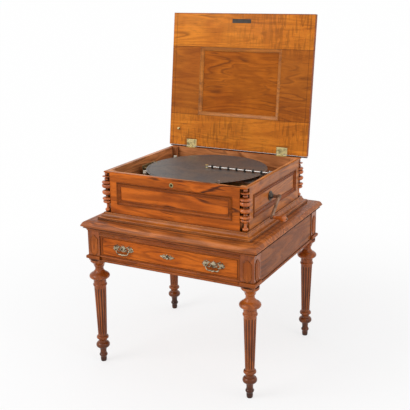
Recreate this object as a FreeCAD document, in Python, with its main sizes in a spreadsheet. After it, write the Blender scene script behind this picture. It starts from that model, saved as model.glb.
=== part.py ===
"""Disc music box on its table stand, in millimetres.

Front is -Y, right is +X, up is +Z. The origin is on the floor at the centre of the stand. The lid is open on
its stop, the pressure bar lies on the tune disc and the drawer is shut.
"""

import FreeCAD, Part
import math
import os
import re

import Sketcher

V = FreeCAD.Vector
PARTS = "parts"

SIZES = {
    # Table top and frame of the stand
    "table_width": 772,
    "table_depth": 703,
    "table_height": 626,
    "table_thick": 30,
    "table_round": 15,
    "top_over_side": 19,
    "top_over_front": 21.5,
    "cove_out": 14,
    "cove_drop": 11,
    "post_side": 56,
    "apron_tall": 138,
    "rail_thick": 22,
    "rail_set": 3,
    "foot_moulding_up": 7,
    "foot_moulding_tall": 15,
    "foot_moulding_out": 8,
    "foot_moulding_bevel": 5,
    "frieze_up": 5,
    "frieze_tall": 17,
    "frieze_out": 4,
    "bead_out": 4,
    "bead_tall": 9,
    "bead_lip": 1.6,
    "bead_gap": 4,
    "raised_panel_wide": 26,
    "raised_panel_tall": 84,
    "raised_panel_hip": 10,
    "raised_panel_out": 3.5,
    "raised_panel_bevel": 2.8,
    "raised_panel_up": 66,
    "flute_count": 12,
    "flute_depth": 2.6,
    # Drawer
    "rail_lower_tall": 31,
    "rail_upper_tall": 34,
    "stile_wide": 12,
    "drawer_play": 1.5,
    "drawer_front_thick": 20,
    "drawer_side_thick": 12,
    "drawer_side_tall": 60,
    "drawer_length": 440,
    "drawer_floor_thick": 6,
    "drawer_floor_up": 8,
    "runner_wide": 26,
    "runner_thick": 18,
    "guide_tall": 14,
    "handle_in": 99,
    "handle_below_keyhole": 1.5,
    "plate_wide": 94,
    "plate_thick": 2,
    "ear_x": 33,
    "ear_half": 3,
    "ear_tall": 7,
    "ear_out": 13,
    "bail_stand": 9.5,
    "bail_bar": 4,
    "bail_drop": 22,
    "bail_slant": 12,
    "bail_pin_long": 6,
    "escutcheon_wide": 69,
    "drawer_lock_wide": 60,
    "drawer_lock_low": 19,
    "drawer_lock_high": 22,
    "drawer_lock_deep": 11,
    # Case
    "case_width": 623.4,
    "case_depth": 556.4,
    "case_tall": 167.7,
    "wall": 16,
    "rim": 5,
    "notch": 27,
    "corner_wall": 8,
    "plinth_tall": 29,
    "plinth_out": 24,
    "plinth_lip": 12,
    "plinth_step": 5,
    "plinth_top_band": 4,
    "plinth_inset": 30,
    "floor_thick": 7,
    "spindle_inset": 8,
    "front_panel_in": 58.2,
    "side_panel_in": 60.2,
    "panel_up": 37,
    "panel_down": 38.7,
    "panel_sunk": 4,
    "panel_frame": 18,
    "panel_proud": 2,
    "panel_bead": 4,
    "panel_low_edge": 2,
    "keyhole_x": -3,
    "keyhole_down": 24.7,
    "keyhole_bush": 5.5,
    "keyhole_bore": 2.5,
    "bush_deep": 8,
    "case_lock_wide": 66,
    "case_lock_tall": 42,
    "case_lock_deep": 12,
    # Lid, drawn shut from the hinge axis forward
    "lid_over_side": 22.3,
    "lid_over_front": 33.6,
    "lid_thick": 23,
    "lid_open": 96.9,
    "lid_play": 0.3,
    "lid_edge_round": 4,
    "hinge_back": 3.9,
    "knuckle": 3.4,
    "knuckle_room": 4.2,
    "knuckle_long": 16,
    "knuckle_gap": 0.3,
    "hinge_pin": 1.5,
    "hinge_in": 91.7,
    "leaf_wide": 50,
    "leaf_thick": 1.5,
    "leaf_long": 38,
    "leaf_play": 0.2,
    "leaf_in": 1.8,
    "lid_stile": 140,
    "lid_rail_back": 147,
    "lid_rail_front": 143,
    "lid_panel_thick": 8,
    "lid_panel_sunk": 9,
    "lid_moulding": 11,
    "lid_moulding_flat": 3,
    "lid_moulding_set": 0.5,
    "keeper_wide": 88,
    "keeper_deep": 17,
    "keeper_from_front": 24,
    "stay_in": 46,
    "stay_from_hinge": 78,
    "stay_stud": 4,
    "stay_long": 9,
    # Tune disc and what holds it
    "disc_room_side": 46.7,
    "disc_room_deep": 13.2,
    "disc_thick": 1,
    "disc_down": 16.2,
    "disc_x": 4,
    "disc_y": 3,
    "hole_in": 9,
    "hole_count": 60,
    "hole_size": 6,
    "spindle_radius": 3.2,
    "bore_play": 0.06,
    "roller_radius": 7.2,
    "roller_wide": 7,
    "roller_count": 7,
    "roller_first": 22,
    "roller_end": 38.7,
    "bar_radius": 2.5,
    "seat": 0.3,
    "bar_pivot_in": 12,
    "eye_radius": 5,
    "eye_wide": 10,
    "cheek": 3,
    "cheek_half": 6,
    "bracket_plate": 4,
    "bracket_tall": 22,
    "rim_room": 2,
    "knob_radius": 7,
    "knob_neck": 5,
    "knob_down": 1.2,
    "catch_stem": 1.5,
    "tang_half": 2,
    "guide_radius": 7,
    "guide_tall_above": 5,
    "guide_back_angle": 150,
    "guide_front_angle": 220,
    "guide_post": 5,
    "guide_pin": 2,
    "lever_x": 165,
    "lever_in": 55.2,
    "lever_drop": 31.5,
    "lever_down": 3.7,
    "lever_radius": 2.5,
    "lever_block": 16,
    "lever_block_deep": 24,
    "lever_sunk": 20,
    # Bedplate, combs and star wheels
    "bed_left": -75,
    "bed_clear": 11.7,
    "bed_half": 112,
    "bed_down": 45.5,
    "bed_thick": 10,
    "pillar_radius": 8,
    "pillar_in": 16,
    "star_radius": 9,
    "star_under": 0.6,
    "star_count": 12,
    "star_points": 6,
    "star_valley": 0.55,
    "star_thick": 1.6,
    "star_first": 26,
    "star_end": 24,
    "star_bar": 1.7,
    "star_post_half": 5,
    "star_post_thick": 4,
    "star_post_gap": 6,
    "comb_teeth": 20,
    "comb_tooth_wide": 8,
    "comb_tooth_long": 38,
    "comb_tooth_thick": 1.8,
    "comb_root_deep": 38,
    "comb_root_thick": 5,
    "comb_first": 24,
    "comb_end": 32,
    "comb_under": 4.9,
    "comb_base_in": 4,
    # Spring motor and drive
    "gear_module": 4,
    "sprocket_teeth": 8,
    "sprocket_thick": 4,
    "sprocket_tooth": 3.2,
    "sprocket_rim": 5,
    "great_teeth": 24,
    "pinion_teeth": 6,
    "winding_teeth": 15,
    "worm_teeth": 12,
    "gear_thick": 5,
    "mesh_play": 0.3,
    "barrel_drop": 58.7,
    "barrel_radius": 40,
    "barrel_hub": 9,
    "barrel_arbor": 5,
    "barrel_side_room": 8,
    "arbor": 3,
    "arbor_end": 2,
    "motor_left_in": 14,
    "motor_right_in": 132,
    "motor_plate": 5,
    "motor_front": -68,
    "motor_back": 52,
    "motor_down": 5.5,
    "tie_radius": 4,
    "tie_edge": 6,
    "governor_out": 37,
    "governor_step": 16,
    "governor_tall": 120,
    "lug_half": 5,
    "lug_thick": 5,
    "worm_out": 17,
    "worm_core": 2,
    "vane": 16,
    "vane_tall": 30,
    "vane_up": 10,
    "vane_thick": 1,
    # Crank
    "crank_rise": 21.7,
    "crank_shaft": 5,
    "crank_reach": 94,
    "crank_angle": 222,
    "crank_out": 32.3,
    "crank_arm_thick": 5,
    "crank_arm_wide": 12,
    "crank_boss": 19,
    "crank_boss_thick": 5,
    "crank_hub": 10,
    "crank_hub_long": 13,
    "grip_long": 64,
    "grip_pin": 2.5,
    "grip_head": 4,
    # Flat sides of what is round, few enough to keep the facets down
    "pin_sides": 10,
    "tie_sides": 6,
    "roller_sides": 8,
    "spindle_sides": 8,
    "leg_sides": 12,
    "drum_sides": 20,
    "disc_sides": 60,
}

# Turned outlines: where each ring lies along the axis, and how wide it is there. Each name gives two cells.
LEG = {
    "leg_cap_top": (458, 70),
    "leg_cap": (449, 70),
    "leg_throat": (430, 43),
    "leg_neck": (420, 35),
    "leg_bulb_top": (397, 80),
    "leg_bulb": (386, 84),
    "leg_bulb_low": (376, 74),
    "leg_collar": (366, 52),
    "leg_collar_low": (352, 52),
    "leg_ring": (346, 57),
    "leg_shaft_top": (336, 50),
    "leg_shaft_low": (122, 37),
    "leg_low_ring": (108, 50),
    "leg_waist": (95, 35),
    "leg_low_bulb": (74, 57),
    "leg_low_neck": (51, 28),
    "leg_ankle": (37, 27),
    "leg_foot_ring": (29, 34),
    "leg_foot": (21, 26),
    "leg_sole": (0, 26),
}
SPINDLE = {
    "spindle_cap": (162.7, 11),
    "spindle_bead": (158, 17),
    "spindle_bead_neck": (151, 11),
    "spindle_disc": (134, 28),
    "spindle_cone": (126, 22),
    "spindle_bulb": (108, 36),
    "spindle_groove": (94, 20),
    "spindle_belly": (81, 36),
    "spindle_groove_two": (66, 20),
    "spindle_bead_three": (53, 32),
    "spindle_step": (43, 21),
    "spindle_neck": (27, 12),
    "spindle_foot_bead": (9, 17),
    "spindle_foot": (0, 11),
}
GRIP = {
    "grip_ferrule": (0, 13),
    "grip_neck": (14, 11),
    "grip_swell": (44, 24),
    "grip_shoulder": (57, 20),
    "grip_end": (64, 10),
}

FORMULAS = {
    # Stand
    "stand_width": "table_width - 2 * top_over_side",
    "stand_depth": "table_depth - 2 * top_over_front",
    "apron_top": "table_height - table_thick",
    "rail_bottom": "apron_top - apron_tall",
    "post_x": "(stand_width - post_side) / 2",
    "post_y": "(stand_depth - post_side) / 2",
    "post_inner_x": "stand_width / 2 - post_side",
    "post_inner_y": "stand_depth / 2 - post_side",
    "rail_face": "stand_depth / 2 - rail_set",
    "apron_face": "stand_width / 2 - rail_set",
    "foot_moulding_low": "rail_bottom + foot_moulding_up",
    "foot_moulding_high": "foot_moulding_low + foot_moulding_tall",
    "raised_panel_high": "rail_bottom + raised_panel_up",
    "drawer_low": "rail_bottom + rail_lower_tall",
    "drawer_high": "apron_top - rail_upper_tall",
    "drawer_half": "post_inner_x - stile_wide",
    "drawer_inner": "drawer_half - drawer_play - drawer_side_thick",
    "drawer_foot": "drawer_low + drawer_play",
    "frieze_low": "drawer_high + frieze_up",
    "plate_face": "rail_face + plate_thick",
    "escutcheon_z": "(drawer_low + drawer_high) / 2",
    "handle_x": "drawer_half - handle_in",
    "handle_z": "escutcheon_z - handle_below_keyhole",
    "bail_y": "rail_face + bail_stand",
    # Case
    "case_low": "table_height + plinth_tall",
    "case_high": "case_low + case_tall",
    "case_x": "case_width / 2",
    "case_y": "case_depth / 2",
    "inner_x": "case_x - wall",
    "inner_y": "case_y - wall",
    "wall_top": "case_high - rim",
    "floor_top": "case_low + floor_thick",
    "front_panel_half": "case_x - front_panel_in",
    "side_panel_half": "case_y - side_panel_in",
    "panel_low": "case_low + panel_up",
    "panel_high": "case_high - panel_down",
    "keyhole_z": "case_high - keyhole_down",
    # Lid
    "pivot_y": "case_y + hinge_back",
    "pivot_z": "case_high + lid_play",
    "lid_width": "case_width + 2 * lid_over_side",
    "lid_depth": "case_depth + lid_over_front",
    "hinge_x": "case_x - hinge_in",
    "lid_panel_half": "lid_width / 2 - lid_stile",
    "lid_panel_near": "lid_rail_back",
    "lid_panel_far": "lid_depth - lid_rail_front",
    "stay_x": "stay_in - lid_width / 2",
    # Movement
    "disc_radius": "min(inner_x - disc_room_side; inner_y - disc_room_deep)",
    "disc_top": "case_high - disc_down",
    "disc_low": "disc_top - disc_thick",
    "hole_ring": "disc_radius - hole_in",
    "roller_axis": "disc_top + seat + roller_radius",
    "bar_pivot_x": "inner_x - bar_pivot_in",
    "roller_pitch": "(bar_pivot_x - disc_x - roller_first - roller_end) / (roller_count - 1)",
    "lever_y": "lever_in - inner_y",
    "lever_axis": "disc_top - lever_drop",
    "lever_top": "case_high - lever_down",
    "bed_right": "inner_x - bed_clear",
    "bed_top": "disc_low - bed_down",
    "star_axis": "disc_low - star_radius - star_under",
    "star_pitch": "(bed_right - star_first - star_end) / star_count",
    "comb_tooth_pitch": "(bed_right - comb_first - comb_end) / comb_teeth",
    "comb_seat": "star_axis - comb_under - comb_root_thick",
    "sprocket_radius": "hole_ring * sprocket_teeth / hole_count",
    "drive_z": "disc_top - disc_thick / 2 - sprocket_radius",
    "drive_x": "disc_x - hole_ring",
    "motor_left": "drive_x + motor_left_in",
    "motor_right": "drive_x + motor_right_in",
    "motor_top": "disc_low - motor_down",
    "governor_x": "drive_x - governor_out",
    "governor_low": "disc_low - governor_tall",
    "worm_x": "drive_x - worm_out",
    "great_radius": "gear_module * great_teeth / 2",
    "pinion_radius": "gear_module * pinion_teeth / 2",
    "winding_radius": "gear_module * winding_teeth / 2",
    "worm_wheel_radius": "gear_module * worm_teeth / 2",
    "addendum": "gear_module * 0.7",
    "train_reach": "great_radius + pinion_radius + mesh_play",
    "barrel_z": "drive_z - barrel_drop",
    "barrel_y": "disc_y - sqrt(train_reach * train_reach - barrel_drop * barrel_drop)",
    "winding_reach": "winding_radius + pinion_radius + mesh_play",
    "crank_z": "barrel_z + crank_rise",
    "crank_y": "barrel_y - sqrt(winding_reach * winding_reach - crank_rise * crank_rise)",
    "plate_left_out": "motor_left - motor_plate / 2",
    "plate_right_out": "motor_right + motor_plate / 2",
    "great_x": "plate_left_out - 2 - gear_thick",
    "winding_x": "plate_right_out + 4",
    "worm_y": "disc_y + worm_wheel_radius + addendum + worm_core + seat",
    "crank_arm_x": "case_x + crank_out",
    "grip_x": "crank_arm_x + crank_arm_thick + 2",
}

doc = FreeCAD.newDocument("DiscMusicBox")
sheet = doc.addObject("Spreadsheet::Sheet", "Dims")
NODES = {}


def fill_sheet():
    """One row for each driving size: its name, and the plain number under the same alias."""
    for turning in (LEG, SPINDLE, GRIP):
        for ring, (place, width) in turning.items():
            SIZES[f"{ring}_at"] = place
            SIZES[f"{ring}_dia"] = width
    for row, (name, value) in enumerate(SIZES.items(), start=1):
        sheet.set(f"A{row}", name)
        sheet.set(f"B{row}", str(value))
        sheet.setAlias(f"B{row}", name)
    doc.recompute()


def expr(text):
    """A size written in plain names, as the document reads it."""

    def word(match):
        name = match.group(0)
        if name in FORMULAS:
            return "(" + expr(FORMULAS[name]) + ")"
        return "Dims." + name if name in SIZES else name

    return re.sub(r"[a-z_][a-z_0-9]*", word, str(text))


def val(text):
    """The present value of a size written in plain names."""
    return float(sheet.evalExpression(expr(text)))


def bind(thing, prop, text):
    thing.setExpression(prop, expr(text))


def put(thing, x="0", y="0", z="0", turn=None):
    """Places a piece; turn is its rotation."""
    thing.Placement = FreeCAD.Placement(V(0, 0, 0), turn or FreeCAD.Rotation())
    for axis, where in zip("xyz", (x, y, z)):
        bind(thing, f"Placement.Base.{axis}", where)
    return thing


def node(label, thing):
    """Registers a finished sub-part under the name of its file."""
    thing.Label = label
    NODES[label] = thing
    return thing


# Plain solids and booleans


def board(name, x, y, z):
    """A board between two limits along each axis."""
    box = doc.addObject("Part::Box", name)
    for prop, axis, (low, high) in zip(("Length", "Width", "Height"), "xyz", (x, y, z)):
        bind(box, prop, f"({high}) - ({low})")
        bind(box, f"Placement.Base.{axis}", low)
    return box


ALONG = {
    "x": FreeCAD.Rotation(V(0, 1, 0), 90),
    "y": FreeCAD.Rotation(V(1, 0, 0), -90),
    "z": FreeCAD.Rotation(),
}


def rod(name, axis, centre, radius, start, end, sides="pin_sides"):
    """A round bar along an axis, its corners on the radius; centre gives its other two coordinates."""
    bar = doc.addObject("Part::Prism", name)
    bind(bar, "Polygon", sides)
    bind(bar, "Circumradius", radius)
    bind(bar, "Height", f"({end}) - ({start})")
    where = list(centre)
    where.insert("xyz".index(axis), start)
    return put(bar, *where, turn=ALONG[axis])


def pin(name, axis, centre, radius, start, end):
    """A truly round bar for a joint to turn on."""
    bar = doc.addObject("Part::Cylinder", name)
    bind(bar, "Radius", radius)
    bind(bar, "Height", f"({end}) - ({start})")
    where = list(centre)
    where.insert("xyz".index(axis), start)
    return put(bar, *where, turn=ALONG[axis])


def bore(name, axis, centre, radius, start, end, sides="pin_sides"):
    """The tool for a round hole, whose flats clear the radius."""
    return rod(name, axis, centre, f"({radius}) / cos(180 / {sides})", start, end, sides)


def join(name, *pieces):
    fused = doc.addObject("Part::MultiFuse", name)
    fused.Shapes = list(pieces)
    fused.Refine = True
    return fused


def group(name, *pieces):
    together = doc.addObject("Part::Compound", name)
    together.Links = list(pieces)
    return together


def cut(name, base, *tools):
    done = doc.addObject("Part::Cut", name)
    done.Base = base
    done.Tool = tools[0] if len(tools) == 1 else group(name + "_tools", *tools)
    done.Refine = True
    return done


def mirror(piece, normal):
    """The same piece across the plane through the origin square to a direction."""
    other = doc.addObject("Part::Mirroring", piece.Name + "_mirrored")
    other.Source = piece
    other.Normal = normal
    return other


def left_and_right(piece):
    return [piece, mirror(piece, V(1, 0, 0))]


def four_corners(piece):
    pair = left_and_right(piece)
    return pair + [mirror(one, V(0, 1, 0)) for one in pair]


# Bodies made from sketches


def new_body(name):
    return doc.addObject("PartDesign::Body", name)


def own_plane(body, role):
    return next(f for f in body.Origin.OriginFeatures if f.Role == role)


def new_sketch(body, name, role, offset):
    """A sketch on one of the body's own planes; offset is along the plane's own normal."""
    sketch = body.newObject("Sketcher::SketchObject", name)
    sketch.AttachmentSupport = [(own_plane(body, role), "")]
    sketch.MapMode = "FlatFace"
    bind(sketch, "AttachmentOffset.Base.z", offset)
    return sketch


def pin_point(sketch, index, end, across, up):
    """Ties one end of a curve to its place, measured from the sketch's origin."""
    for kind, text in (("DistanceX", across), ("DistanceY", up)):
        number = sketch.addConstraint(
            Sketcher.Constraint(kind, -1, 1, index, end, val(text))
        )
        bind(sketch, f"Constraints[{number}]", text)


def arc_between(a, b, radius):
    """The short arc from a to b; a radius above zero bows outward on an anticlockwise outline."""
    chord = b - a
    inward = V(-chord.y, chord.x, 0).normalize()
    off_chord = math.sqrt(max(radius * radius - chord.Length**2 / 4, 0.0))
    centre = (a + b) * 0.5 + inward * math.copysign(off_chord, radius)
    first, last = (a, b) if radius > 0 else (b, a)
    start = math.atan2(first.y - centre.y, first.x - centre.x)
    end = math.atan2(last.y - centre.y, last.x - centre.x)
    end += 2 * math.pi if end < start else 0
    return Part.ArcOfCircle(Part.Circle(centre, V(0, 0, 1), abs(radius)), start, end)


def draw_outline(sketch, points):
    """A closed outline. A point is (across, up), with a radius where an arc leads to the next one."""
    spots = [V(val(p[0]), val(p[1]), 0) for p in points]
    ends = []
    first = len(sketch.Geometry)
    for i, point in enumerate(points):
        a, b = spots[i], spots[(i + 1) % len(points)]
        if len(point) == 2:
            sketch.addGeometry(Part.LineSegment(a, b))
            ends.append((1, 2))
            continue
        sketch.addGeometry(arc_between(a, b, val(point[2])))
        ends.append((1, 2) if val(point[2]) > 0 else (2, 1))
    for i in range(len(points)):
        after = (i + 1) % len(points)
        sketch.addConstraint(
            Sketcher.Constraint(
                "Coincident", first + i, ends[i][1], first + after, ends[after][0]
            )
        )
    for i, point in enumerate(points):
        pin_point(sketch, first + i, ends[i][0], point[0], point[1])
        if len(point) == 3:
            number = sketch.addConstraint(
                Sketcher.Constraint("Radius", first + i, abs(val(point[2])))
            )
            bind(sketch, f"Constraints[{number}]", f"abs({point[2]})")
    return sketch


def draw_circle(sketch, across, up, radius):
    index = sketch.addGeometry(
        Part.Circle(V(val(across), val(up), 0), V(0, 0, 1), val(radius))
    )
    pin_point(sketch, index, 3, across, up)
    number = sketch.addConstraint(Sketcher.Constraint("Radius", index, val(radius)))
    bind(sketch, f"Constraints[{number}]", radius)
    return sketch


def rectangle(across, up):
    """The corners of a rectangle between two limits each way."""
    return [
        (across[0], up[0]),
        (across[1], up[0]),
        (across[1], up[1]),
        (across[0], up[1]),
    ]


def ring_points(across, up, radius, sides):
    """The corners of a regular outline round a centre; sides names a size."""
    count = int(val(sides))
    return [
        (f"({across}) + ({radius}) * cos({360 * i / count})", f"({up}) + ({radius}) * sin({360 * i / count})")
        for i in range(count)
    ]


def pad(body, sketch, length, back=False):
    feature = body.newObject("PartDesign::Pad", sketch.Name + "_pad")
    feature.Profile = sketch
    bind(feature, "Length", length)
    feature.Reversed = back
    return feature


def pocket(body, sketch, depth, back=False):
    feature = body.newObject("PartDesign::Pocket", sketch.Name + "_pocket")
    feature.Profile = sketch
    bind(feature, "Length", depth)
    feature.Reversed = back
    return feature


def polar(body, feature, sketch, count):
    """Repeats a feature round the sketch's normal."""
    pattern = body.newObject("PartDesign::PolarPattern", feature.Name + "_ring")
    pattern.Originals = [feature]
    pattern.Axis = (sketch, ["N_Axis"])
    pattern.Angle = 360
    bind(pattern, "Occurrences", count)
    body.Tip = pattern
    return pattern


def row(body, feature, sketch, axis, pitch, count):
    """Repeats a feature along one axis of a sketch."""
    pattern = body.newObject("PartDesign::LinearPattern", feature.Name + "_row")
    pattern.Originals = [feature]
    pattern.Direction = (sketch, [axis])
    bind(pattern, "Length", f"({pitch}) * (({count}) - 1)")
    bind(pattern, "Occurrences", count)
    body.Tip = pattern
    return pattern


def slab(name, role, points, start, end):
    """A body padded from an outline between two places along its plane's axis."""
    body = new_body(name)
    offset = f"-({end})" if role == "XZ_Plane" else start
    sketch = new_sketch(body, name + "_outline", role, offset)
    draw_outline(sketch, points)
    pad(body, sketch, f"({end}) - ({start})")
    return body


def stacked(name, layers):
    """A solid with flat faces between outlines of equal corner count, each given as a list of corners."""
    faces = [Part.Face(Part.makePolygon(ends + ends[:1])) for ends in (layers[0], layers[-1])]
    for low, high in zip(layers, layers[1:]):
        for i in range(len(low)):
            after = (i + 1) % len(low)
            side = [low[i], low[after], high[after], high[i], low[i]]
            faces.append(Part.Face(Part.makePolygon(side)))
    solid = Part.makeSolid(Part.makeShell(faces))
    if solid.Volume < 0:
        solid.reverse()
    thing = doc.addObject("Part::Feature", name)
    thing.Shape = solid
    return thing


def ring(radius, height, sides):
    """Corners of a regular outline round the Z axis, with one flat towards each side of the piece."""
    step = 2 * math.pi / sides
    angles = [(i + 0.5) * step for i in range(sides)]
    return [V(radius * math.cos(a), radius * math.sin(a), height) for a in angles]


def turned(name, turning, sides, stretch="1"):
    """A turned piece round its own Z axis, made of its rings in order; stretch scales its height."""
    count = int(val(sides))
    layers = [ring(val(f"{r}_dia / 2"), val(f"{r}_at * ({stretch})"), count) for r in turning]
    return stacked(name, layers)


def frame_moulding(name, half_x, half_y, profile):
    """A moulding with mitred corners round a rectangle. The profile is (outward, up)."""
    body = new_body(name)
    path = new_sketch(body, name + "_path", "XY_Plane", "0")
    draw_outline(path, rectangle((f"-({half_x})", half_x), (f"-({half_y})", half_y)))
    section = new_sketch(body, name + "_section", "XZ_Plane", "0")
    points = [(f"({half_x}) + ({p[0]})", *p[1:]) for p in profile]
    draw_outline(section, points)
    swept = body.newObject("PartDesign::AdditivePipe", name + "_swept")
    swept.Profile = section
    swept.Spine = (path, ["Edge1", "Edge2", "Edge3", "Edge4"])
    swept.Transition = "Right corner"
    return body


def edge_names(body, test):
    """The names of the edges of a body's last feature whose centre passes a test."""
    doc.recompute()
    shape = body.Tip.Shape
    names = [f"Edge{i}" for i, e in enumerate(shape.Edges, start=1) if test(e)]
    if not names:
        raise ValueError(f"{body.Name} has no edge to round")
    return names


def fillet(body, radius, test):
    base = body.Tip
    names = edge_names(body, test)
    feature = body.newObject("PartDesign::Fillet", body.Name + "_round")
    feature.Base = (base, names)
    bind(feature, "Radius", radius)
    return feature


def chamfer(body, size, test):
    base = body.Tip
    names = edge_names(body, test)
    feature = body.newObject("PartDesign::Chamfer", body.Name + "_bevel")
    feature.Base = (base, names)
    bind(feature, "Size", size)
    return feature


def level(height):
    """A test for edges that lie flat at a height."""

    def test(edge):
        box = edge.BoundBox
        return abs(box.ZMin - height) < 1e-4 and abs(box.ZMax - height) < 1e-4

    return test


# Gears, drawn round the body's own Z axis


def toothed(name, root, tip, base_half, tip_half, thick, count):
    """The two flanks of each tooth run straight from its foot to its tip."""
    teeth = int(val(count))
    points = []
    for i in range(teeth):
        for reach, half, side in (
            (root, base_half, "-"),
            (tip, tip_half, "-"),
            (tip, tip_half, "+"),
            (root, base_half, "+"),
        ):
            turn = f"{360 * i / teeth} deg {side} asin(({half}) / ({reach}))"
            points.append((f"({reach}) * cos({turn})", f"({reach}) * sin({turn})"))
    return slab(name, "XY_Plane", points, "0", thick)


def gear(name, radius, count):
    return toothed(
        name,
        f"({radius}) - gear_module * 0.85",
        f"({radius}) + addendum",
        "gear_module * 0.72",
        "gear_module * 0.36",
        "gear_thick",
        count,
    )


def set_gear(body, x, y, z, tooth_at):
    """Turns a gear's axis along X, with the middle of a tooth at an angle from +Y towards +Z."""
    turn = ALONG["x"].multiply(FreeCAD.Rotation(V(0, 0, 1), tooth_at + 90))
    return put(body, x, y, z, turn)


def angle_of(dy, dz):
    return math.degrees(math.atan2(val(dz), val(dy)))


# The stand


def make_table_top():
    body = slab(
        "table_slab",
        "XY_Plane",
        rectangle(
            ("-table_width / 2", "table_width / 2"),
            ("-table_depth / 2", "table_depth / 2"),
        ),
        "apron_top",
        "table_height",
    )
    fillet(body, "table_round", level(val("table_height")))
    node("table_top", body)


def fluted_shaft(name, stretch):
    """The tapered shaft, with a hollow between each two ribs all round."""
    count = int(val("flute_count"))
    step = math.pi / count
    layers = []
    for end in ("leg_shaft_low", "leg_shaft_top"):
        radius, height = val(f"{end}_dia / 2"), val(f"{end}_at * ({stretch})")
        hollow = radius * (1 - val("flute_depth") * 2 / val("leg_shaft_top_dia"))
        corners = []
        for i in range(2 * count):
            reach = hollow if i % 2 else radius
            corners.append(V(reach * math.cos(i * step), reach * math.sin(i * step), height))
        layers.append(corners)
    return stacked(name, layers)


def make_legs():
    """A corner post with its turned and fluted leg is one piece; the four are alike."""
    rings = list(LEG)
    split = rings.index("leg_shaft_top")
    side = ("-post_side / 2", "post_side / 2")
    stretch = "rail_bottom / leg_cap_top_at"
    leg = join(
        "leg_piece",
        turned("leg_upper", rings[: split + 1], "leg_sides", stretch),
        fluted_shaft("leg_shaft", stretch),
        turned("leg_lower", rings[split + 1 :], "leg_sides", stretch),
        board("leg_post", side, side, ("rail_bottom", "apron_top")),
    )
    put(leg, "post_x", "post_y")
    names = ("leg_back_right", "leg_back_left", "leg_front_right", "leg_front_left")
    for name, piece in zip(names, four_corners(leg)):
        node(name, piece)


def make_aprons():
    inner, z = ("-post_inner_y", "post_inner_y"), ("rail_bottom", "apron_top")
    left = board("apron_left", ("-apron_face", "-apron_face + rail_thick"), inner, z)
    node("side_apron_left", left)
    right = board("apron_right", ("apron_face - rail_thick", "apron_face"), inner, z)
    node("side_apron_right", right)
    across = ("-post_inner_x", "post_inner_x")
    back = board("apron_back", across, ("rail_face - rail_thick", "rail_face"), z)
    node("back_apron", back)
    deep = ("-rail_face", "-rail_face + rail_thick")
    node("drawer_rail_upper", board("rail_up", across, deep, ("drawer_high", "apron_top")))
    node("drawer_rail_lower", board("rail_low", across, deep, ("rail_bottom", "drawer_low")))
    stile = board(
        "stile", ("drawer_half", "post_inner_x"), deep, ("drawer_low", "drawer_high")
    )
    node("drawer_stiles", group("stiles", *left_and_right(stile)))


def make_runners():
    """Rails that the drawer runs on, with a guide beside it."""
    inner = "apron_face - rail_thick"
    runner = slab(
        "runner",
        "XZ_Plane",
        [
            ("drawer_half - runner_wide", "drawer_foot - seat - runner_thick"),
            (inner, "drawer_foot - seat - runner_thick"),
            (inner, "drawer_foot - seat + guide_tall"),
            ("drawer_half - drawer_play + seat", "drawer_foot - seat + guide_tall"),
            ("drawer_half - drawer_play + seat", "drawer_foot - seat"),
            ("drawer_half - runner_wide", "drawer_foot - seat"),
        ],
        "-post_inner_y",
        "post_inner_y",
    )
    node("drawer_runners", group("runners", *left_and_right(runner)))


def make_stand_mouldings():
    cove = frame_moulding(
        "top_cove",
        "stand_width / 2",
        "stand_depth / 2",
        [
            ("0", "apron_top - cove_drop"),
            ("2", "apron_top - cove_drop", "2 - cove_out"),
            ("cove_out", "apron_top"),
            ("0", "apron_top"),
        ],
    )
    inner_x, inner_y = "post_inner_x", "-post_inner_y"
    face_x, face_y = "stand_width / 2", "-stand_depth / 2"
    foot = slab(
        "post_foot",
        "XY_Plane",
        [
            (inner_x, face_y),
            (inner_x, f"{face_y} - foot_moulding_out"),
            (f"{face_x} + foot_moulding_out", f"{face_y} - foot_moulding_out"),
            (f"{face_x} + foot_moulding_out", inner_y),
            (face_x, inner_y),
            (face_x, face_y),
        ],
        "foot_moulding_low",
        "foot_moulding_high",
    )
    outer_x, outer_y = val(face_x) + 1, val(face_y) - 1

    def outside_level(edge):
        middle = edge.CenterOfMass
        outside = middle.x > outer_x or middle.y < outer_y
        box = edge.BoundBox
        long_side = max(box.XLength, box.YLength) > val("post_side")
        return box.ZLength < 1e-4 and outside and long_side

    chamfer(foot, "foot_moulding_bevel", outside_level)
    across = ("-post_inner_x", "post_inner_x")
    strip = board(
        "frieze",
        across,
        ("-rail_face - frieze_out", "-rail_face"),
        ("frieze_low", "frieze_low + frieze_tall"),
    )
    beads = []
    for number, low in enumerate(("rail_bottom", "drawer_low - bead_tall - bead_gap")):
        beads.append(
            slab(
                f"rail_bead_{number}",
                "YZ_Plane",
                [
                    ("-rail_face", low),
                    ("-rail_face", f"{low} + bead_tall"),
                    ("-rail_face - bead_lip", f"{low} + bead_tall"),
                    ("-rail_face - bead_out", f"{low} + bead_tall * 0.7"),
                    ("-rail_face - bead_out", f"{low} + bead_tall * 0.3"),
                    ("-rail_face - bead_lip", low),
                ],
                across[0],
                across[1],
            )
        )
    skirt = board(
        "apron_skirt",
        ("apron_face", "apron_face + bead_out"),
        ("-post_inner_y", "post_inner_y"),
        ("rail_bottom", "rail_bottom + bead_tall"),
    )
    node(
        "stand_mouldings",
        group("mouldings", cove, *four_corners(foot), strip, *beads, *left_and_right(skirt)),
    )


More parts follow.
